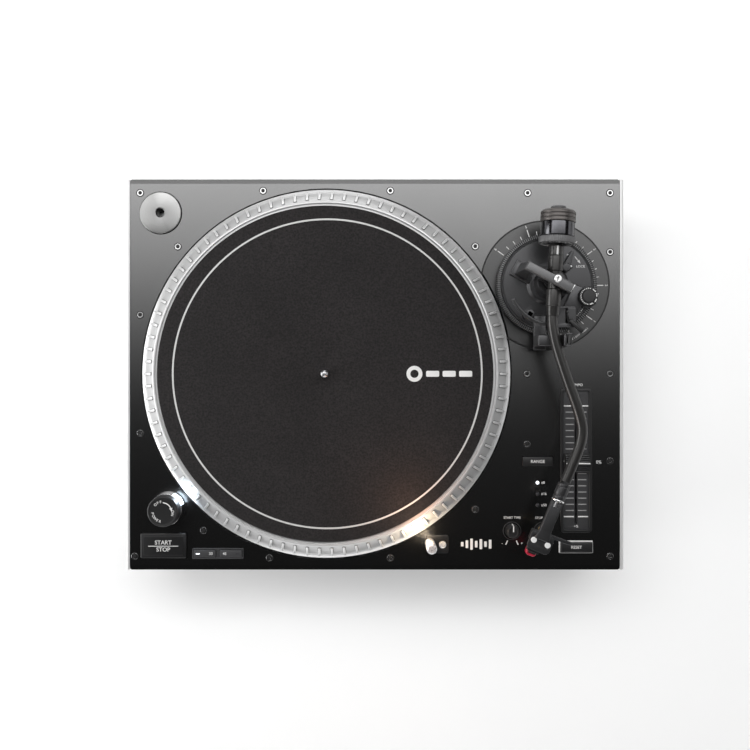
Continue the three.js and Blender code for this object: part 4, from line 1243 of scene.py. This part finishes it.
def add_base_knobs():
    at, top = middle("anti_skate_knob"), high("anti_skate_knob").z
    centre = (at.x, at.y)
    knob = lathe("knob", [
        (0, 110.6), (3, 110.6), (3, 113.3), (8.6, 113.3), (8.6, 114.2), (8.3, 117.6), (7.9, 118.2),
        (6.2, 118.3), (5.9, top - 0.4), (5.2, top), (0, top),
    ], centre, 144, soft=0.25, wave=fluted(24, 0.3, 113.6, 117.8))
    paint(knob, "moulded_black")
    face = 118.28
    marks = []
    for i in range(14):
        a = radians(80 + 14 * i)
        spot = (at.x + 7.05 * cos(a), at.y + 7.05 * sin(a))
        marks.append(dot(spot, 0.5, face, 12, 0.08, 0.02))
    for start in (-84, -44, -4, 34):
        dash = band("dash", 6.5, 7.5, start, start + 26, face, face + 0.08, centre, 0.02, 10)
        marks.append(paint(dash, "print_white"))
    piece("anti_skate_dial", "anti_skate", "moulded_black", [knob, *marks], "anti_skate_knob")
    hinge = joint_place("height_lock_turn")
    turn = radians(-21)
    disc = lathe("disc", [(0, 110.3), (4, 110.3), (4, 114.4), (3.4, 115), (0, 115)], (0, 0), 48,
                 soft=0.3)
    arm = prism("arm", rounded([(-3.6, -1), (3.6, -1), (1.2, 15.4), (-1.2, 15.4)], 1, True), 111.6,
                114.6, soft=0.6)
    mark = dot((3.6, 2.2), 0.85, 114.5, 20, 0.2, 0.02)
    ear = lathe("ear", [(0, 111.6), (2.2, 111.6), (2.2, 114.1), (1.8, 114.55), (0, 114.55)], (3.2, 2), 32,
                soft=0.2)
    paint_all("arm_black", disc, arm, ear)
    for obj in (disc, arm, mark, ear):
        move(obj, hinge.x, hinge.y, 0, turn)
    piece("lock_lever", "height_lock", "moulded_black", [disc, arm, mark, ear], "height_lock_lever")
    add_rest_clip()


def add_rest_clip():
    at = joint_place("rest_clip_turn")
    barrel = lathe("barrel", [(0, -4), (1.8, -4), (1.8, 4), (0, 4)], sides=40, soft=0.3)
    aim(barrel, at, (0, 1, 0))
    hook = tapered("hook", (2, 4.6), (2.4, 6), -16.5, -0.5, (0, 0))
    move(hook, at.x, at.y, at.z)
    tip = block("tip", (3, 4.4, 2.2), (at.x + 0.5, at.y, at.z - 16.5), soft=0.6)
    paint_all("moulded_black", barrel, hook, tip)
    piece("rest_clip_hook", "rest_clip", "moulded_black", [barrel, hook, tip], "arm_rest_clip")


# ---- tonearm -----------------------------------------------------------------

TUBE_ROUTE = [
    (152, 56), (151.7, 46), (152.6, 37.5), (155.2, 25), (159.6, 10.5), (166.5, -10),
    (172.4, -26.5), (176.4, -40.5), (177.3, -49.6), (175.9, -58), (172.7, -67.8), (163, -91.5),
]


def arm_rod(name, profile, sides=72, soft=0.3, wave=None):
    """A turned piece on the arm line: profile heights run rearwards from the pivot."""
    return aim(lathe(name, profile, sides=sides, soft=soft, wave=wave), PIVOT, ARM_REAR)


def add_tonearm():
    tube = sweep("tube", [(x, y, PIVOT.z) for x, y in TUBE_ROUTE], 4.5, 32)
    sleeve = arm_rod("sleeve", [
        (0, -31), (4.8, -31), (5.1, -30.4), (5.8, -22.4), (6.3, -22), (6.3, -8.2), (6, -7.8),
        (5.5, -7.5), (5.5, 7.5), (6, 7.8), (6.4, 8.2), (6.4, 20.4), (6.1, 20.9), (5.8, 20.9),
        (5.8, 21.3), (6, 21.5), (6, 29), (5.6, 29.5), (5, 29.5), (5, 56), (0, 56),
    ])
    pins = aim(lathe("pins", [(0, -8.6), (1.5, -8.6), (1.5, 8.6), (0, 8.6)], sides=24, soft=0.2),
               PIVOT, BEARING)
    stripe = block("stripe", (1.5, 7.6, 0.14), (0, 25.2, 5.92), soft=0.04)
    lean = atan2(ARM_REAR.y, ARM_REAR.x) - pi / 2
    move(stripe, PIVOT.x, PIVOT.y, PIVOT.z, lean)
    paint_all("tube_black", tube, sleeve)
    paint(pins, "steel")
    paint(stripe, "print_white")
    piece("s_tube", "tonearm", "deck_black", [tube, sleeve, pins, stripe], "arm_tube")


def add_counterweight():
    bush = arm_rod("bush", [
        (5.3, 33.5), (7.3, 33.5), (7.3, 59.4), (6.5, 59.6), (6.5, 60.8), (6.1, 61), (6.1, 61.4),
        (6.5, 61.6), (6.5, 62.6), (6, 63.2), (0, 63.3), (0, 59.4), (5.3, 59.4),
    ], soft=0.2)
    place(paint(bush, "bridge_grey"), "weight_bush", "steel", "counterweight_bush")
    weight = arm_rod("weight", [
        (7.7, 37.2), (14.1, 37.2), (14.45, 37.7), (14.45, 48.9), (14, 49.3), (7.7, 49.3),
    ], 144, 0.2)
    paint(weight, "gloss_black")
    tail = arm_rod("tail", [
        (7.7, 49.35), (14.6, 49.35), (14.9, 49.8), (14.9, 52), (14.4, 52.3), (14.4, 52.7),
        (14.9, 53), (14.9, 55.2), (14.4, 55.5), (14.4, 55.9), (14.9, 56.2), (14.9, 57.8),
        (14.2, 58.6), (12.9, 59.7), (7.7, 59.7),
    ], 144, 0.15)
    paint(tail, "weight_band")
    dial = arm_rod("dial", [
        (7.7, 31), (14.9, 31), (15.5, 31.5), (15.5, 36.2), (15, 36.8), (7.7, 36.8),
    ], 180, 0.2, fluted(60, 0.25, 31.4, 36.4))
    paint(dial, "bridge_grey")
    piece("balance_weight_body", "balance_weight", "gloss_black", [weight, tail, dial, *dial_print()],
          "counterweight", "counterweight_dial")


def dial_print():
    """The stylus force scale on the front face of the dial."""
    lean = atan2(ARM_REAR.y, ARM_REAR.x) - pi / 2
    marks = []
    for i in range(30):
        tall = i % 3 == 0
        turn = 2 * pi * i / 30
        mark = block("mark", (0.5, 0.12, 2.4 if tall else 1.4), (0, 30.97, 12), soft=0.03)
        mark.data.transform(Matrix.Rotation(turn, 4, "Y"))
        marks.append(mark)
        if tall:
            digit = text(str(i // 3 % 4), (0, 0), 2.6, z=0)
            digit.data.transform(Matrix.Translation((0, 30.97 * MM, 10.2 * MM))
                                 @ Matrix.Rotation(pi / 2, 4, "X"))
            digit.data.transform(Matrix.Rotation(turn, 4, "Y"))
            marks.append(digit)
    return [paint(move(mark, PIVOT.x, PIVOT.y, PIVOT.z, lean), "print_white") for mark in marks]


def head_place(obj):
    """Moves a piece from the headshell's frame: origin at the collar, -Y to the stylus."""
    turn = atan2(HEAD_REAR.y, HEAD_REAR.x) - pi / 2
    return move(obj, COLLAR.x, COLLAR.y, COLLAR.z, turn)


def add_headshell():
    collar = lathe("collar_sleeve", [
        (3.4, 0.6), (5.2, 0.6), (5.6, 1), (5.6, 3), (5.3, 3.3), (5.6, 3.6), (5.6, 10.6), (5.2, 11),
        (5.2, 11.6), (5.6, 12), (5.6, 14), (5, 14.6), (3.4, 14.6),
    ], sides=120, soft=0.15, wave=fluted(40, 0.18, 3.8, 10.4))
    aim(collar, COLLAR, -HEAD_REAR)
    place(paint(collar, "arm_black"), "shell_collar", "deck_black", "headshell_collar")
    ring = lathe("ring", [(0, 15), (5.7, 15), (5.9, 15.6), (5.7, 16.4), (0, 16.4)], sides=64, soft=0.2)
    aim(ring, COLLAR, -HEAD_REAR)
    paint(ring, "chrome")
    plug = lathe("plug", [(0, 1), (3, 1), (3, 22), (0, 22)], sides=32, soft=0.2)
    aim(plug, COLLAR, -HEAD_REAR)
    paint(plug, "steel")
    spine = prism("spine", rounded([
        (-5.1, -16.2), (5.1, -16.2), (5.1, -44), (6.5, -50), (6.5, -52.6), (-6.5, -52.6),
        (-6.5, -50), (-5.1, -44),
    ], 0.8, True), -3.0, 2.3, soft=0.9)
    plate = prism("plate", rounded([
        (-10.2, -48), (-6, -46.2), (6, -46.2), (10.2, -48), (10.2, -60.5), (7.8, -63), (-7.8, -63),
        (-10.2, -60.5),
    ], 1.2, True), -1.8, 0.6,
        [rectangle(3, 7, (-6.35, -54.6), 1.4), rectangle(3, 7, (6.35, -54.6), 1.4)], 0.35)
    lift = prism("lift", rounded([(5, -45), (26, -44.4), (26.5, -47), (20, -47.7), (5, -48)], 0.9, True),
                 -1.3, 0.1, soft=0.4)
    parts = [spine, plate, lift]
    for obj in parts:
        paint(head_place(obj), "arm_black")
    screws = []
    # The screw heads are painted white: a painted highlight on their metal.
    for x in (-6.35, 6.35):
        head = lathe("screw", [
            (0, 0), (2.5, 0), (2.5, 1.2), (2.3, 1.4), (0, 1.5),
        ], (x, -54.6), 40, soft=0.1)
        screws.append(paint(head_place(move(head, z=0.4)), "print_white"))
    piece("head_shell", "tonearm", "deck_black", [*parts, ring, plug, *screws], "headshell")


def add_cartridge():
    body = block("body", (16.5, 9.4, 12.6), (0, -51.7, -16.2), soft=1)
    nose = prism("nose", rounded([(8.2, -54), (-8.2, -54), (-8.2, -64), (-6.8, -65.6), (3.0, -65.6),
                                  (3.0, -61.4), (8.2, -61.4)], 0.7, True), -7.0, -3.5, soft=0.5)
    cheek = block("cheek", (4.4, 8, 12), (5.6, -57.4, -16), soft=0.8)
    ears = block("ears", (20, 6, 2.4), (0, -52.6, -4.6), soft=0.7)
    pins = [lathe("pin", [(0, 0), (0.6, 0), (0.6, 4), (0, 4)], sides=16, soft=0.1) for _ in range(4)]
    for i, pin in enumerate(pins):
        aim(pin, (-3 + 2 * i, -47.4, -10), (0, 1, 0))
        paint(head_place(pin), "brass")
    parts = [body, nose, cheek, ears]
    for obj in parts:
        paint(head_place(obj), "moulded_black")
    piece("cartridge_body", "tonearm", "moulded_black", [*parts, *pins], "cartridge")
    holder = prism("holder", rounded([
        (2.4, -61.3), (-6.4, -61.3), (-6.4, -68), (-4.8, -69.6), (0.8, -69.6), (2.4, -68),
    ], 0.6, True), -16, -8, soft=0.6)
    pane = prism("pane", rounded([(0.6, -64), (-4.2, -64), (-4.2, -66.6), (0.6, -66.6)], 0.5, True),
                 -7.9, -7.4, soft=0.15)
    wire = sweep("wire", [(-2, -62, -15.8), (-2, -64, -16.6), (-2, -67, -18.6)], 0.35, 12)
    tip = lathe("tip", [(0, 0), (0.15, 0.1), (0.5, 1.4), (0, 1.6)], (-2, -66.8), 16)
    move(tip, z=-19.6)
    cover = prism("cover", rounded([(2.2, -61.4), (-5.0, -61.4), (-5.0, -67.6), (1.4, -67.6)], 0.4, True),
                  -8.2, -7.7, soft=0.2)
    parts = [holder, pane, wire, tip, cover]
    for obj, finish in ((holder, "red_plastic"), (cover, "key_black"), (pane, "grey_plastic"),
                        (wire, "steel"), (tip, "chrome")):
        paint(head_place(obj), finish)
    piece("stylus_holder", "tonearm", "red_plastic", parts, "stylus_assembly")


# ---- feet --------------------------------------------------------------------


def add_feet():
    for corner in ("front_left", "front_right", "rear_left", "rear_right"):
        node = "foot_" + corner
        at = middle(node)
        r = half_width(node)
        pad = lathe("pad", [
            (0, 0.6), (9, 0.6), (9.6, 0), (12, 0), (12.6, 0.6), (15, 0.6), (15.6, 0), (20, 0), (22, 2),
            (22, 5), (0, 5),
        ], (at.x, at.y), 96, soft=0.3)
        paint(pad, "rubber")
        shell = lathe("shell", [
            (0, 5), (r - 1, 5), (r, 8), (r, 11), (r - 0.8, 11.5), (r - 0.8, 12.5), (r, 13), (r, 24),
            (r - 3, 29.6), (5, 29.7), (5, 48), (0, 48),
        ], (at.x, at.y), 144, soft=0.5, wave=fluted(36, 0.5, 13.2, 23.8))
        paint(shell, "moulded_black")
        piece("foot_body_" + corner, "foot_screw_" + corner, "rubber", [pad, shell], node)


# ---- room --------------------------------------------------------------------


def area_light(name, at, size, power, target=(0, 0, 0.1)):
    data = bpy.data.lights.new(name, "AREA")
    data.shape = "RECTANGLE"
    data.size, data.size_y = size
    data.energy = power
    light = add_object(name, data)
    light.location = at
    away = Vector(at) - Vector(target)
    light.rotation_euler = away.to_track_quat("Z", "Y").to_euler()


def point_light(name, at, power, color, radius):
    data = bpy.data.lights.new(name, "POINT")
    data.energy = power
    data.color = color
    data.shadow_soft_size = radius
    add_object(name, data).location = Vector(at) * MM


def add_room():
    bm = bmesh.new()
    bmesh.ops.create_grid(bm, x_segments=8, y_segments=8, size=4)
    mesh = bpy.data.meshes.new("floor")
    bm.to_mesh(mesh)
    bm.free()
    floor = add_object("floor", mesh)
    paint(floor, "floor")
    add_world()
    bpy.context.scene.view_settings.view_transform = "Standard"
    add_overhead_strips()
    area_light("left_box", (-1.6, -0.2, 0.5), (1.6, 0.7), 22)
    area_light("right_box", (1.6, 0.1, 0.45), (1.6, 0.6), 4)
    area_light("front_box", (0, -1.8, 0.5), (1.8, 0.6), 11)
    area_light("rear_box", (0, 2.3, 0.5), (1.8, 0.5), 7)
    key = middle("target_light")
    point_light("lamp_light", (key.x - 8, key.y + 11, 121), 0.05, (1, 0.8, 0.55), 0.003)
    point_light("lamp_wash", (key.x - 20, key.y + 40, 150), 0.06, (1, 0.5, 0.28), 0.02)
    tower = middle("strobe_tower_base")
    point_light("strobe_light", (tower.x + 18, tower.y + 15, 106), 0.035, (0.75, 0.87, 1), 0.003)


def add_world():
    """A dim room behind pale walls: only the camera sees the walls' brightness."""
    world = bpy.data.worlds.new("studio")
    world.use_nodes = True
    tree = world.node_tree
    dim = feed(tree.nodes["Background"], {"Color": (1, 1, 1, 1), "Strength": 0.03})
    walls = add_node(tree, "Background", {"Color": (0.8, 0.8, 0.8, 1)})
    seen = add_node(tree, "LightPath", {}).outputs["Is Camera Ray"]
    mix = add_node(tree, "MixShader", {"Fac": seen, 1: dim.outputs["Background"],
                                       2: walls.outputs["Background"]})
    feed(tree.nodes["World Output"], {"Surface": mix.outputs["Shader"]})
    bpy.context.scene.world = world


STRIP = {"height": 1.3, "width": 2.4, "depth": 0.13, "count": 10, "strength": 4.4, "bright_to": 0.75}


def add_overhead_strips():
    """A bank of light over the rear of the deck that fades out towards the front."""
    for i in range(STRIP["count"]):
        y = STRIP["depth"] * (i + 0.5)
        fade = min(1, ((i + 0.6) / 4.2) ** 1.35)
        share = 1 if y < STRIP["bright_to"] else 0.35
        strength = STRIP["strength"] * fade * share
        power = strength * pi * STRIP["width"] * STRIP["depth"]
        at = (0, y, STRIP["height"])
        area_light("strip_%02d" % i, at, (STRIP["width"], STRIP["depth"]), power, target=(0, y, 0))


# ---- everything --------------------------------------------------------------

add_camera()
add_materials()
add_room()
finish_cad_nodes()
add_platter()
add_screws()
add_deck_marks()
add_start_key()
add_speed_keys()
add_tower()
add_target_light()
add_time_knob("start_time_knob", "start_knob", "start_time_cap", "START TIME")
add_time_knob("stop_time_knob", "stop_knob", "stop_time_cap", "STOP TIME")
add_range_keys()
add_fader()
add_adapter()
add_mount_print()
add_height_ring()
add_arm_base()
add_bridge()
add_lift_parts()
add_base_knobs()
add_tonearm()
add_counterweight()
add_headshell()
add_cartridge()
add_feet()
